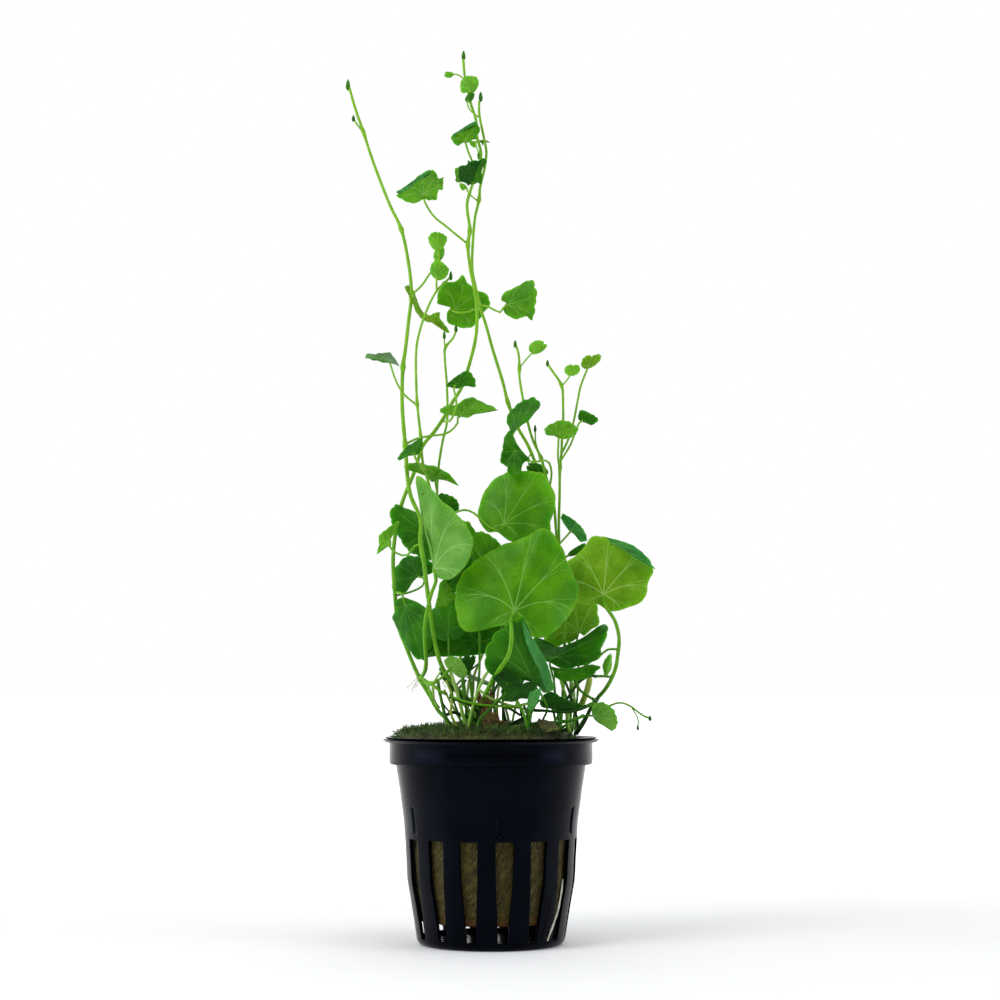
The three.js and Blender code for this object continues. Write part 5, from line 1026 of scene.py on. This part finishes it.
def bud(shape, spot, wide, long):  # five folded young leaves
    middle, steps = place(spot), 7
    for k in range(5):
        lean = 0.35 if k else 0.0
        turn = goldenTurn * k
        foot = middle - Vector((0, 0, long * 0.45))
        side = Vector((math.cos(turn) * wide * lean, math.sin(turn) * wide * lean, long * (0.5 - 0.09 * k)))
        shares = [i / (steps - 1) for i in range(steps)]
        line = [foot.lerp(middle + side, share) for share in shares]
        radii = [max(0.08, wide * 0.62 * math.sin(math.pi * (0.14 + 0.8 * share))) for share in shares]
        shape.add(*sweep(line, radii, 8))


def onHeart(spec):  # where the stalk runs into the blade
    return tuple(place(spec["joint"]).lerp(place(spec["tip"]), leafLook["heart"]))


mossTop = 50.0  # where stems end, in the moss
stalkTop = 50.4  # where stalks end, in the moss


def stemPiece(name, spec):
    shape = Shape()
    route = placed(spec["line"])
    foot = spec.get("foot", mossTop)
    if foot:
        route.append((route[-1][0], route[-1][1], foot))
    rod(shape, route, spec["radius"], spec.get("knots", ()), tipShare=0.66, grow=110)
    for shoot in spec.get("shoots", ()):
        rod(shape, placed(shoot), spec["radius"] * 0.6, tipShare=0.7)
    kinds = [0] * len(shape.faces)
    for one in spec["buds"]:
        bud(shape, *one)
    kinds += [1] * (len(shape.faces) - len(kinds))
    leaflets = spec.get("leaflets", ())
    for k, leaflet in enumerate(leaflets):
        leafInto(shape, leaflet, 3 * k + 3, "leaflet")
        kinds += [1 if leaflet.get("tint") == "shade" else 2] * (len(shape.faces) - len(kinds))
    for leaflet in leaflets:
        line = [onHeart(leaflet), *placed(leaflet["stalk"])]
        rod(shape, line, 0.22, tipShare=0.9, sides=8, step=1.0)
    kinds += [0] * (len(shape.faces) - len(kinds))
    piece = shape.piece(name + "Mesh", stemSkin, True)
    # buds take the shade tissue for their darker green; leaflets tinted shade take it as painted shade, the
    # rest the fresh tissue
    for tint in ("shade", "fresh"):
        piece.data.materials.append(tissue[tint])
    piece.data.polygons.foreach_set("material_index", kinds)
    return own(piece, "stem", name)


def kidneyRim(spec, around):  # a small leaf: two round lobes behind the stalk
    taper, lobe = spec.get("taper", 0), spec.get("lobe", 0.45)
    rim = []
    for k in range(around):
        turn = -math.pi + 2 * math.pi * k / around
        reach = 1 - 0.94 * (abs(turn) / math.pi) ** 6
        a = reach * math.cos(turn)
        rim.append((a if a > 0 else a * lobe, reach * math.sin(turn) * (1 - taper * max(a, 0))))
    return rim


def crossed(u, v):
    return float(u[0] * v[1] - u[1] * v[0])


def tracedRim(spec, around):  # smooth closed curve through the outline, in shares of the blade
    joint = np.array(spec["joint"][:2])
    along, toLeft, toRight = (np.array(spec[k][:2]) - joint for k in ("tip", "left", "right"))
    points = np.array(spec["outline"]) - joint
    after, before = np.roll(points, -1, 0), np.roll(points, 1, 0)
    ahead = np.linalg.norm(after - points, axis=1)
    behind = np.roll(ahead, 1)
    tangent = (after - before) / (ahead + behind)[:, None] * (0.2 if spec.get("tint") in dry else 1)
    reach = np.concatenate([[0], np.cumsum(ahead)])
    rim = []
    for k in range(around):
        at = (k / around * reach[-1] - ahead[-1] / 2) % reach[-1]
        i = min(int(np.searchsorted(reach, at, "right")) - 1, len(points) - 1)
        n, h = (i + 1) % len(points), ahead[i]
        s = (at - reach[i]) / h
        spot = (points[i] * (1 + 2 * s) * (1 - s) ** 2 + tangent[i] * h * s * (1 - s) ** 2
                + points[n] * (3 - 2 * s) * s ** 2 + tangent[n] * h * s ** 2 * (s - 1))
        onRight = crossed(along, spot) * crossed(along, toRight) > 0
        side = toRight if onRight else toLeft
        b = crossed(along, spot) / crossed(along, side)
        rim.append((crossed(spot, side) / crossed(along, side), b if onRight else -b))
    return rim


# Blade: half thickness and lobe size in mm, how far veins bow, and waves as shares of its width
bladeForm = {"half": 0.11, "lobe": 1.4, "arch": 0.36, "blister": 0.013, "wave": 0.03, "ruffle": 0.012}
bigBlade = {"scallop": 14, "detail": 12}  # widths in mm from which a blade has finer lobes, and more faces
bladeDetail = {"big": (144, 24), "small": (84, 14), "second": (72, 14), "bit": (84, 10), "leaflet": (40, 10)}


def bladeGrid(spec, seed, around, out):  # rings of points from the heart of the blade to its rim
    joint, tip, left, right = (place(spec[k]) for k in ("joint", "tip", "left", "right"))
    along, toLeft, toRight = tip - joint, left - joint, right - joint
    front = (right - left).cross(along).normalized()
    cup, curl = spec.get("cup", 0.6), spec.get("curl", 0)
    size = (right - left).length
    lobes = round(max(13, size / bladeForm["lobe"]))
    traced = "outline" in spec
    scallop = 0.055 if not traced else 0.012 if size > bigBlade["scallop"] else 0.035
    heart = leafLook["heart"] if traced else 0
    rim = tracedRim(spec, around) if traced else kidneyRim(spec, around)
    grid = []
    for i in range(out + 1):
        share = i / out
        row = []
        for k in range(around if i else 1):
            turn = 2 * math.pi * k / around
            reach, across = rim[k]
            scale = abs(math.cos(lobes * turn / 2 + 0.4 * math.sin(2 * turn + seed)))
            wide = share * (1 + scallop * (scale ** 0.7 - 0.72) * 1.6 * share ** 3)
            uneven = 0.018 * math.sin(3 * turn + seed) + 0.012 * math.sin(7 * turn + 2.3 * seed)
            wide *= 1 + uneven * (0.4 if traced else 1)
            b = across * wide
            a = heart + (reach - heart) * wide + bladeForm["arch"] * share * (1 - share) * min(abs(across), 1)
            lift = -(cup * min(b * b, 1.3) + curl * max(a, 0) ** 2)
            lift += size * bladeForm["blister"] * share * abs(math.cos(leafLook["veins"] * turn / 2))
            lift += size * bladeForm["wave"] * share ** 4 * math.sin(3 * turn + seed * 1.7)
            lift += size * bladeForm["ruffle"] * share ** 6 * math.sin(8 * turn + seed)
            row.append(joint + along * a + (toRight if b > 0 else toLeft) * abs(b) + front * lift)
        grid.append(row)
    return grid, front


def leafInto(shape, spec, seed, detail):  # a thin closed blade with marks (turn, share of the radius)
    around, out = bladeDetail[detail]
    grid, front = bladeGrid(spec, seed, around, out)
    verts, faces, marks = [], [], []
    for side in (1, -1):
        base = len(verts)
        for i, row in enumerate(grid):
            thick = bladeForm["half"] * side * (1 - (i / out) ** 6 * 0.9)
            verts += [spot + front * thick for spot in row]

        def at(i, k):
            return base if i == 0 else base + 1 + (i - 1) * around + k % around

        for i in range(out):
            for k in range(around):
                corners = [(i, k), (i + 1, k), (i + 1, k + 1), (i, k + 1)]
                mark = [(n / around, m / out) for m, n in corners]
                if i == 0:
                    corners.pop()
                    mark = [((k + 0.5) / around, 0), *mark[1:3]]
                faces.append(tuple(at(*corner) for corner in corners[::side]))
                marks += mark[::side]
    count = len(verts) // 2
    for k in range(around):
        n = (k + 1) % around
        a, b = 1 + (out - 1) * around + k, 1 + (out - 1) * around + n
        faces.append((b, a, a + count, b + count))
        marks += [((k + 1) / around, 1), (k / around, 1), (k / around, 1), ((k + 1) / around, 1)]
    shape.add(verts, faces, marks)


def leafPiece(name, spec, seed, slotName="leaf_blade", alone=False):
    shape, tint = Shape(), spec.get("tint", "lit")
    big = (place(spec["left"]) - place(spec["right"])).length > bigBlade["detail"]
    leafInto(shape, spec, seed, "big" if big else "small")
    if "second" in spec:
        leafInto(shape, spec["second"], seed + 5, "second")
    skins, kinds = [tissue[tint]], [0] * len(shape.faces)
    for bit in spec.get("bits", ()):
        leafInto(shape, bit, seed + 7, "bit")
        kinds += [len(skins)] * (len(shape.faces) - len(kinds))
        skins.append(tissue[bit["tint"]])
    route = [onHeart(spec), *placed([spec["joint"], *spec["stalk"]])]
    if spec.get("crown"):
        route.append((route[-1][0], route[-1][1], stalkTop))
    rod(shape, route, spec.get("radius", 0.3), tipShare=0.85, sides=8, step=1.4)
    if tint not in dry:
        skins.append(crownSkin if spec.get("crown") and not spec.get("freshStalk") else stemSkin)
    kinds += [0 if tint in dry else len(skins) - 1] * (len(shape.faces) - len(kinds))
    piece = shape.piece(name + "Mesh", skins[0], True)
    for skin in skins[1:]:
        piece.data.materials.append(skin)
    piece.data.polygons.foreach_set("material_index", kinds)
    return own(piece, slotName, *(() if alone else (name,)))


# Pot: one sheet with the slot cells left out, thickened inwards and its edges eased
potForm = {
    "columns": 480, "wall": 0.8, "ease": 0.14, "slots": 15, "firstSlot": 9.3, "slotCells": 6.0,
    "slotLow": 1.8, "slotHigh": 25.7,
    "slotHalf": [(0, 3.85), (1.8, 3.85), (9, 4.7), (16, 5.8), (25, 6.2), (33, 6.0)],  # angle at each height
    "floorIn": 8.0, "floorOut": 15.4, "grooves": (-59.5, 5.8, 65, 125, 185, 245), "grooveLow": 27.0,
    "grooveHigh": 33.5, "grooveHalf": 2.0, "grooveDeep": 0.35, "grooveSide": 0.5, "grooveEnd": 0.4,
    "foot": 16.25, "footRound": 1.8,
    "wallRadius": [(1.8, 18.05), (2.2, 18.15), (4.9, 18.55), (10, 19.4), (15, 20.3), (17.3, 20.5), (20, 20.6),
                   (29.5, 21.2), (36.9, 22.2), (42.9, 23.15)],
    "rim": [(26.3, 49.3), (26.5, 49.15), (26.3, 49.05), (25.4, 49.1), (24.95, 48.9), (24.8, 48.4),
            (24.8, 46.0), (24.8, 43.9), (24.7, 43.45), (24.3, 43.3), (23.5, 43.25), (23.2, 43.1)],
}


def potProfile():
    zs, rs = zip(*potForm["wallRadius"])
    runs = ((42.9, 33.9, 9), (33.5, 33.0, 3), (32.0, 28.0, 5), (27.5, 27.0, 3), (26.3, 25.7, 2),
            (25.1, 1.8, 20))
    levels = sorted({float(z) for run in runs for z in np.round(np.linspace(*run), 3)}, reverse=True)
    rows = list(potForm["rim"])
    rows += [(float(np.interp(z, zs, rs)), z) for z in levels]
    foot, bend = potForm["foot"], potForm["footRound"]
    rows += [(foot + bend * math.cos(t), bend - bend * math.sin(t)) for t in np.radians([18, 36, 54, 72, 90])]
    rows += [(r, 0.0) for r in (potForm["floorOut"], 13.5, 11.7, 9.8, potForm["floorIn"], 5.0, 2.0)]
    return rows


def grooveDepth(z, turn):  # short upright grooves in the collar
    form = potForm
    if not form["grooveLow"] <= z <= form["grooveHigh"]:
        return 0.0
    gap = min(abs((turn - groove + 180) % 360 - 180) for groove in form["grooves"])
    sink = form["grooveDeep"] * min(1, max(0, (form["grooveHalf"] - gap) / form["grooveSide"]))
    return sink * min(1, min(z - form["grooveLow"], form["grooveHigh"] - z) / form["grooveEnd"])


def buildPot():
    form = potForm
    rows, n = potProfile(), form["columns"]
    verts, faces = [], []
    pitch, cells = 360 / form["slots"], form["slotCells"]
    heights, halves = zip(*form["slotHalf"])
    for r, z in rows:
        half = float(np.interp(z, heights, halves))
        for k in range(n):
            away = (360 * k / n + pitch / 2) % pitch - pitch / 2  # from the middle of the nearest slot
            side = abs(away)
            if side < cells:
                bent = side * half / cells
            else:
                bent = half + (side - cells) * (pitch / 2 - half) / (pitch / 2 - cells)
            turn = form["firstSlot"] + 360 * k / n - away + math.copysign(bent, away)
            reach, turn = r - grooveDepth(z, turn), math.radians(turn)
            verts.append((reach * math.sin(turn), -reach * math.cos(turn), z))
    near, flat = 1e-4, 1e-6
    for i, ((r0, z0), (r1, z1)) in enumerate(zip(rows, rows[1:])):
        wallSlot = z0 <= form["slotHigh"] + near and z1 >= form["slotLow"] - near
        floorSlot = z1 < flat and r0 <= form["floorOut"] + near and r1 >= form["floorIn"] - near
        for k in range(n):
            away = abs((360 * (k + 0.5) / n + pitch / 2) % pitch - pitch / 2)
            if (wallSlot or floorSlot) and away < cells:
                continue
            m = (k + 1) % n
            faces.append((i * n + k, (i + 1) * n + k, (i + 1) * n + m, i * n + m))
    last = (len(rows) - 1) * n
    faces.append(tuple(last + k for k in range(n - 1, -1, -1)))
    pot = cleaned(newPiece("potSheet", verts, faces, plastic))
    thick = pot.modifiers.new("thick", "SOLIDIFY")
    thick.thickness = form["wall"] * mm
    thick.offset = -1
    thick.use_even_offset = True
    ease = pot.modifiers.new("ease", "BEVEL")
    ease.width = form["ease"] * mm
    ease.segments = 2
    ease.limit_method = "ANGLE"
    ease.angle_limit = math.radians(50)
    pot = baked(pot, "potMesh")
    pot.data.set_sharp_from_angle(angle=math.radians(35))
    return own(pot, "pot_plastic", "pot")


# Repeats laid on a surface by one node tree with named inputs and a fixed seed
scatterInputs = {"Ground": "Geometry", "Shoot": "Object", "Surface Material": "Material", "Density": "Float",
                 "Smallest": "Float", "Largest": "Float", "Lean": "Float", "Seed": "Int"}


def scatterTree(name):
    tree = bpy.data.node_groups.new(name, "GeometryNodeTree")
    for label, kind in scatterInputs.items():
        tree.interface.new_socket(label, in_out="INPUT", socket_type="NodeSocket" + kind)
    tree.interface.new_socket("Result", in_out="OUTPUT", socket_type="NodeSocketGeometry")
    given = add(tree, "NodeGroupInput").outputs

    def randomly(low, high, kind="FLOAT", **links):
        node = add(tree, "FunctionNodeRandomValue", {"data_type": kind}, links)
        fill(tree, [s for s in node.inputs if s.enabled], (low, high))
        return next(s for s in node.outputs if s.enabled)

    def keep(geometry, value, label, domain):
        return add(tree, "GeometryNodeStoreNamedAttribute", {"data_type": "FLOAT", "domain": domain}, {
            "Geometry": geometry, "Value": value}, Name=label).outputs[0]

    def read(label):
        return add(tree, "GeometryNodeInputNamedAttribute", {"data_type": "FLOAT"}, Name=label).outputs[0]

    spread = add(tree, "GeometryNodeDistributePointsOnFaces", links={
        "Mesh": given["Ground"], "Density": given["Density"], "Seed": given["Seed"]})
    size = randomly(given["Smallest"], given["Largest"], Seed=given["Seed"])
    lean, backLean = given["Lean"], maths(tree, "MULTIPLY", given["Lean"], -1.0)
    low = add(tree, "ShaderNodeCombineXYZ", links={"X": backLean, "Y": backLean}, Z=-3.14)
    high = add(tree, "ShaderNodeCombineXYZ", links={"X": lean, "Y": lean}, Z=3.14)
    spin = randomly(low.outputs[0], high.outputs[0], "FLOAT_VECTOR")
    turned = add(tree, "FunctionNodeEulerToRotation", links={0: spin})
    facing = add(tree, "FunctionNodeRotateRotation", {"rotation_space": "LOCAL"}, {
        "Rotation": spread.outputs["Rotation"], "Rotate By": turned.outputs[0]})
    source = add(tree, "GeometryNodeObjectInfo", links={"Object": given["Shoot"]})
    spots = add(tree, "GeometryNodeInstanceOnPoints", links={
        "Points": spread.outputs["Points"], "Instance": source.outputs["Geometry"],
        "Rotation": facing.outputs[0], "Scale": size})
    kept = keep(spots.outputs[0], randomly(0.25, 1.0), "shootTone", "INSTANCE")
    real = add(tree, "GeometryNodeRealizeInstances", links={0: kept})
    tone = maths(tree, "MULTIPLY", read("shootTone"), read("along"))
    toned = keep(real.outputs[0], tone, "strandTone", "POINT")
    painted = add(tree, "GeometryNodeSetMaterial", links={
        "Geometry": toned, "Material": given["Surface Material"]})
    add(tree, "NodeGroupOutput", links={0: painted.outputs[0]})
    return tree


def scatter(name, ground, shoot, material, count, sizes, lean, seed):
    tree = scatterTree(name + "Tree")
    area = sum(p.area for p in ground.data.polygons)
    modifier = ground.modifiers.new(name, "NODES")
    modifier.node_group = tree
    values = {"Shoot": shoot, "Surface Material": material, "Density": count / area,
              "Smallest": sizes[0], "Largest": sizes[1], "Lean": lean, "Seed": seed}
    for item in tree.interface.items_tree:
        if item.item_type == "SOCKET" and item.in_out == "INPUT" and item.name in values:
            modifier[item.identifier] = values[item.name]
    piece = baked(ground, name)
    bpy.data.objects.remove(shoot)
    return piece


def lengthwise(piece, values):  # share of the way along a shoot, for its tone
    piece.data.attributes.new("along", "FLOAT", "POINT").data.foreach_set("value", values)
    return piece


# Cushion: heights of its edge, top and underside, its reach and how much less it is on the bare side
mossForm = {"foot": 49.7, "top": 52.1, "base": 49.5, "reach": 23.4, "bare": 4.6, "rings": 26, "around": 120}


def mossLevel(out, turn):  # height of the cushion
    lumps = 0.45 * math.sin(5 * turn + 7 * out) * math.sin(9 * out + 2 * turn) * out
    return mossForm["foot"] + (mossForm["top"] - mossForm["foot"] + lumps) * (1 - 0.75 * out ** 4)


def mossGround(name, sink=0.0):
    verts, rings, around = [], mossForm["rings"], mossForm["around"]
    for i in range(rings + 1):
        for k in range(around):
            turn = 2 * math.pi * k / around
            out = i / rings
            reach = (mossForm["reach"] - mossForm["bare"] * max(0, math.cos(turn)) ** 2) * out
            verts.append((reach * math.cos(turn), reach * math.sin(turn), mossLevel(out, turn) - sink))
    faces = quads(rings + 1, around)
    last, low = rings * around, len(verts)
    verts += [(x, y, mossForm["base"]) for x, y, _ in verts[last:]]
    for k in range(around):
        m = (k + 1) % around
        faces.append((last + k, low + k, low + m, last + m))
    faces.append(tuple(low + k for k in range(around - 1, -1, -1)))
    return cleaned(newPiece(name, verts, faces, mossGreen))


def mossShoot():
    shape = Shape()
    line = [(0, 0, -0.2), (0.12, 0, 0.35), (0.3, 0.05, 0.8), (0.55, 0.05, 1.15)]
    shape.add(*sweep(line, [0.05, 0.05, 0.04, 0.02], 3))
    for k in range(6):
        spot = Vector(line[0]).lerp(Vector(line[-1]), 0.25 + 0.13 * k)
        turn = goldenTurn * k
        away = Vector((math.cos(turn), math.sin(turn), 0.75))
        side = Vector((-math.sin(turn), math.cos(turn), 0)) * 0.1
        verts = [spot - side, spot + side, spot + Vector((0, 0, 0.1)), spot + away * 0.45]
        shape.add(verts, [(0, 2, 1), (0, 1, 3), (1, 2, 3), (2, 0, 3)])
    shoot = shape.piece("mossShoot", mossGreen)
    return lengthwise(shoot, [min(1, max(0, v.co.z / (1.3 * mm))) for v in shoot.data.vertices])


def woolFibre(long, radius):
    shape = Shape()
    line = [(long * (k / 5 - 0.5), 0.12 * math.sin(k * 1.9), 0.16 * math.sin(math.pi * k / 5) - 0.02)
            for k in range(6)]
    shape.add(*sweep(line, [radius * 0.4, radius, radius, radius, radius, radius * 0.4], 3))
    return lengthwise(shape.piece("woolFibre", wool), [0.5] * len(shape.verts))


woolRough = {"wave": 0.16, "grain": 0.09, "sink": 0.2, "step": 0.9, "around": 150}
woolForm = [(0, 5.5), (8, 5.6), (17, 5.8), (17.6, 6.4), (19.1, 16), (19.9, 29.5), (21.6, 42.6), (23.3, 44.6),
            (23.4, 49.2), (22.9, 49.4), (0, 49.4)]


def woolGround(name):
    rows = []
    for (r0, z0), (r1, z1) in zip(woolForm, woolForm[1:]):
        steps = max(1, int(math.hypot(r1 - r0, z1 - z0) / woolRough["step"]))
        rows += [(r0 + (r1 - r0) * i / steps, z0 + (z1 - z0) * i / steps) for i in range(steps)]
    rows.append(woolForm[-1])
    around, verts, grain = woolRough["around"], [], woolRough["grain"]
    for i, (r, z) in enumerate(rows):
        for k in range(around):
            turn = 2 * math.pi * k / around
            rough = woolRough["wave"] * math.sin(7 * turn + 1.3 * z) * math.sin(11 * turn - 2.1 * z + r)
            rough += rng.uniform(-grain, grain)
            reach = max(0, r + (rough - woolRough["sink"] if 0 < i < len(rows) - 1 else 0))
            verts.append((reach * math.cos(turn), reach * math.sin(turn), z))
    return cleaned(newPiece(name, verts, quads(len(rows), around, True), wool))


buildPot()
print("pot made")

plug = woolGround("woolPlug")
fuzz = scatter("woolFuzz", woolGround("woolBed"), woolFibre(2.4, 0.045), wool, 4700, (0.6, 1.3), 0.35, 4)
own(joined("woolMesh", [plug, fuzz]), "mineral_wool", "wool_plug")
print("wool made")

cushion = mossGround("mossCushion", 0.25)
strands = scatter("mossStrands", mossGround("mossBed"), mossShoot(), mossGreen, 3950, (0.7, 1.5), 0.7, 9)
own(joined("mossMesh", [cushion, strands]), "moss", "moss")
print("moss made")

for name, spec in stems.items():
    stemPiece(name, spec)
print("stems made")

# Crown: many thin stalks that rise out of the moss between the leaves
crown, crownTones = Shape(), []
for tone, radius, depth, spots in crownStalks:
    rod(crown, placed([(x, z, depth) for x, z in spots]), radius, tipShare=0.85, sides=8)
    crownTones += [list(stalkTones).index(tone)] * (len(crown.faces) - len(crownTones))
tangle = crown.piece("crownStalks", stalkTones["dark"])
for tone in list(stalkTones)[1:]:
    tangle.data.materials.append(stalkTones[tone])
tangle.data.polygons.foreach_set("material_index", crownTones)
own(tangle, "stem")
print("crown made")

for number, (name, spec) in enumerate(leaves.items()):
    leafPiece(name, spec, number * 1.37)
for number, (name, spec) in enumerate(deadLeaves.items()):
    leafPiece(name, spec, number + 0.5, "dead_leaf")
leafPiece("crown_leaf", crownLeaf, 3.3, alone=True)
print("leaves made")

hairs = Shape()
for hair in hairRoots:
    rod(hairs, placed(hair), 0.11, tipShare=0.6, sides=6, step=0.5, wobble=0.2)
own(hairs.piece("hairRoots", rootSkin), "root")

hanging = Shape()
rod(hanging, placed(hangingRoot), 0.24, tipShare=0.8, sides=8, step=0.8, wobble=0.15)
own(hanging.piece("hangingRootMesh", rootSkin), "root", "hanging_root")
print("roots made")


# Studio: white floor and backdrop, soft lights from both sides and from above the front.
# Lamps have their places and sizes in metres.
def lamp(name, spot, look, size, power, colour="#ffffff"):
    light = bpy.data.lights.new(name, "AREA")
    light.shape = "RECTANGLE"
    light.size, light.size_y = size
    light.energy = power
    light.color = linear(colour)[:3]
    holder = bpy.data.objects.new(name, light)
    holder.location = spot
    holder.rotation_euler = (Vector(look) - Vector(spot)).to_track_quat("-Z", "Y").to_euler()
    bpy.context.scene.collection.objects.link(holder)


def studio():
    scene = bpy.context.scene
    scene.view_settings.view_transform = "Standard"
    white, tree, shader, spot = startMaterial("glowingFloor", 0.8, Base_Color="#f6f3ea",
                                              Emission_Color="#ffffff")
    # The floor glows: painted light, faint in front and rising to full half a metre behind, fading into the
    # white world.
    depth = add(tree, "ShaderNodeSeparateXYZ", links={"Vector": spot}).outputs["Y"]
    tree.links.new(band(tree, depth, 0.0, 0.5, 0.08, 1.0), shader.inputs["Emission Strength"])
    far = 9000
    corners = [(-far, -far, 0), (far, -far, 0), (far, far, 0), (-far, far, 0)]
    floor = newPiece("floor", corners, [(0, 1, 2, 3)], white, False)
    world = bpy.data.worlds.new("studio")
    scene.world = world
    world.use_nodes = True
    tree = world.node_tree
    around = add(tree, "ShaderNodeTexCoord").outputs["Generated"]
    way = add(tree, "ShaderNodeSeparateXYZ", links={"Vector": around}).outputs["Y"]
    shade = mixColour(tree, band(tree, way, -0.85, -0.2), "#030406", "#8d94a3")
    shade = mixColour(tree, band(tree, way, 0.0, 0.6), shade, "#ffffff")
    tree.links.new(shade, tree.nodes["Background"].inputs["Color"])
    lamp("keyLight", (-0.32, -0.34, 0.50), (0, 0, 0.12), (0.25, 0.25), 1.5)
    lamp("topLight", (0.10, -0.15, 0.60), (0, 0, 0.10), (0.30, 0.30), 0.9)
    lamp("leftPanel", (-0.50, -0.14, 0.12), (0, 0, 0.06), (0.34, 0.40), 1.9, "#c2d2f5")
    lamp("rightPanel", (0.50, -0.14, 0.12), (0, 0, 0.06), (0.30, 0.40), 1.5, "#c2d2f5")

    camera = bpy.data.cameras.new("view")
    camera.lens = eye["lens"]
    camera.sensor_width = eye["sensor"]
    holder = bpy.data.objects.new("view", camera)
    holder.location = (eye["x"] * mm, -eye["distance"] * mm, eye["z"] * mm)
    holder.rotation_euler = (math.radians(90 + eye["tilt"]), 0, 0)
    scene.collection.objects.link(holder)
    scene.camera = holder


studio()
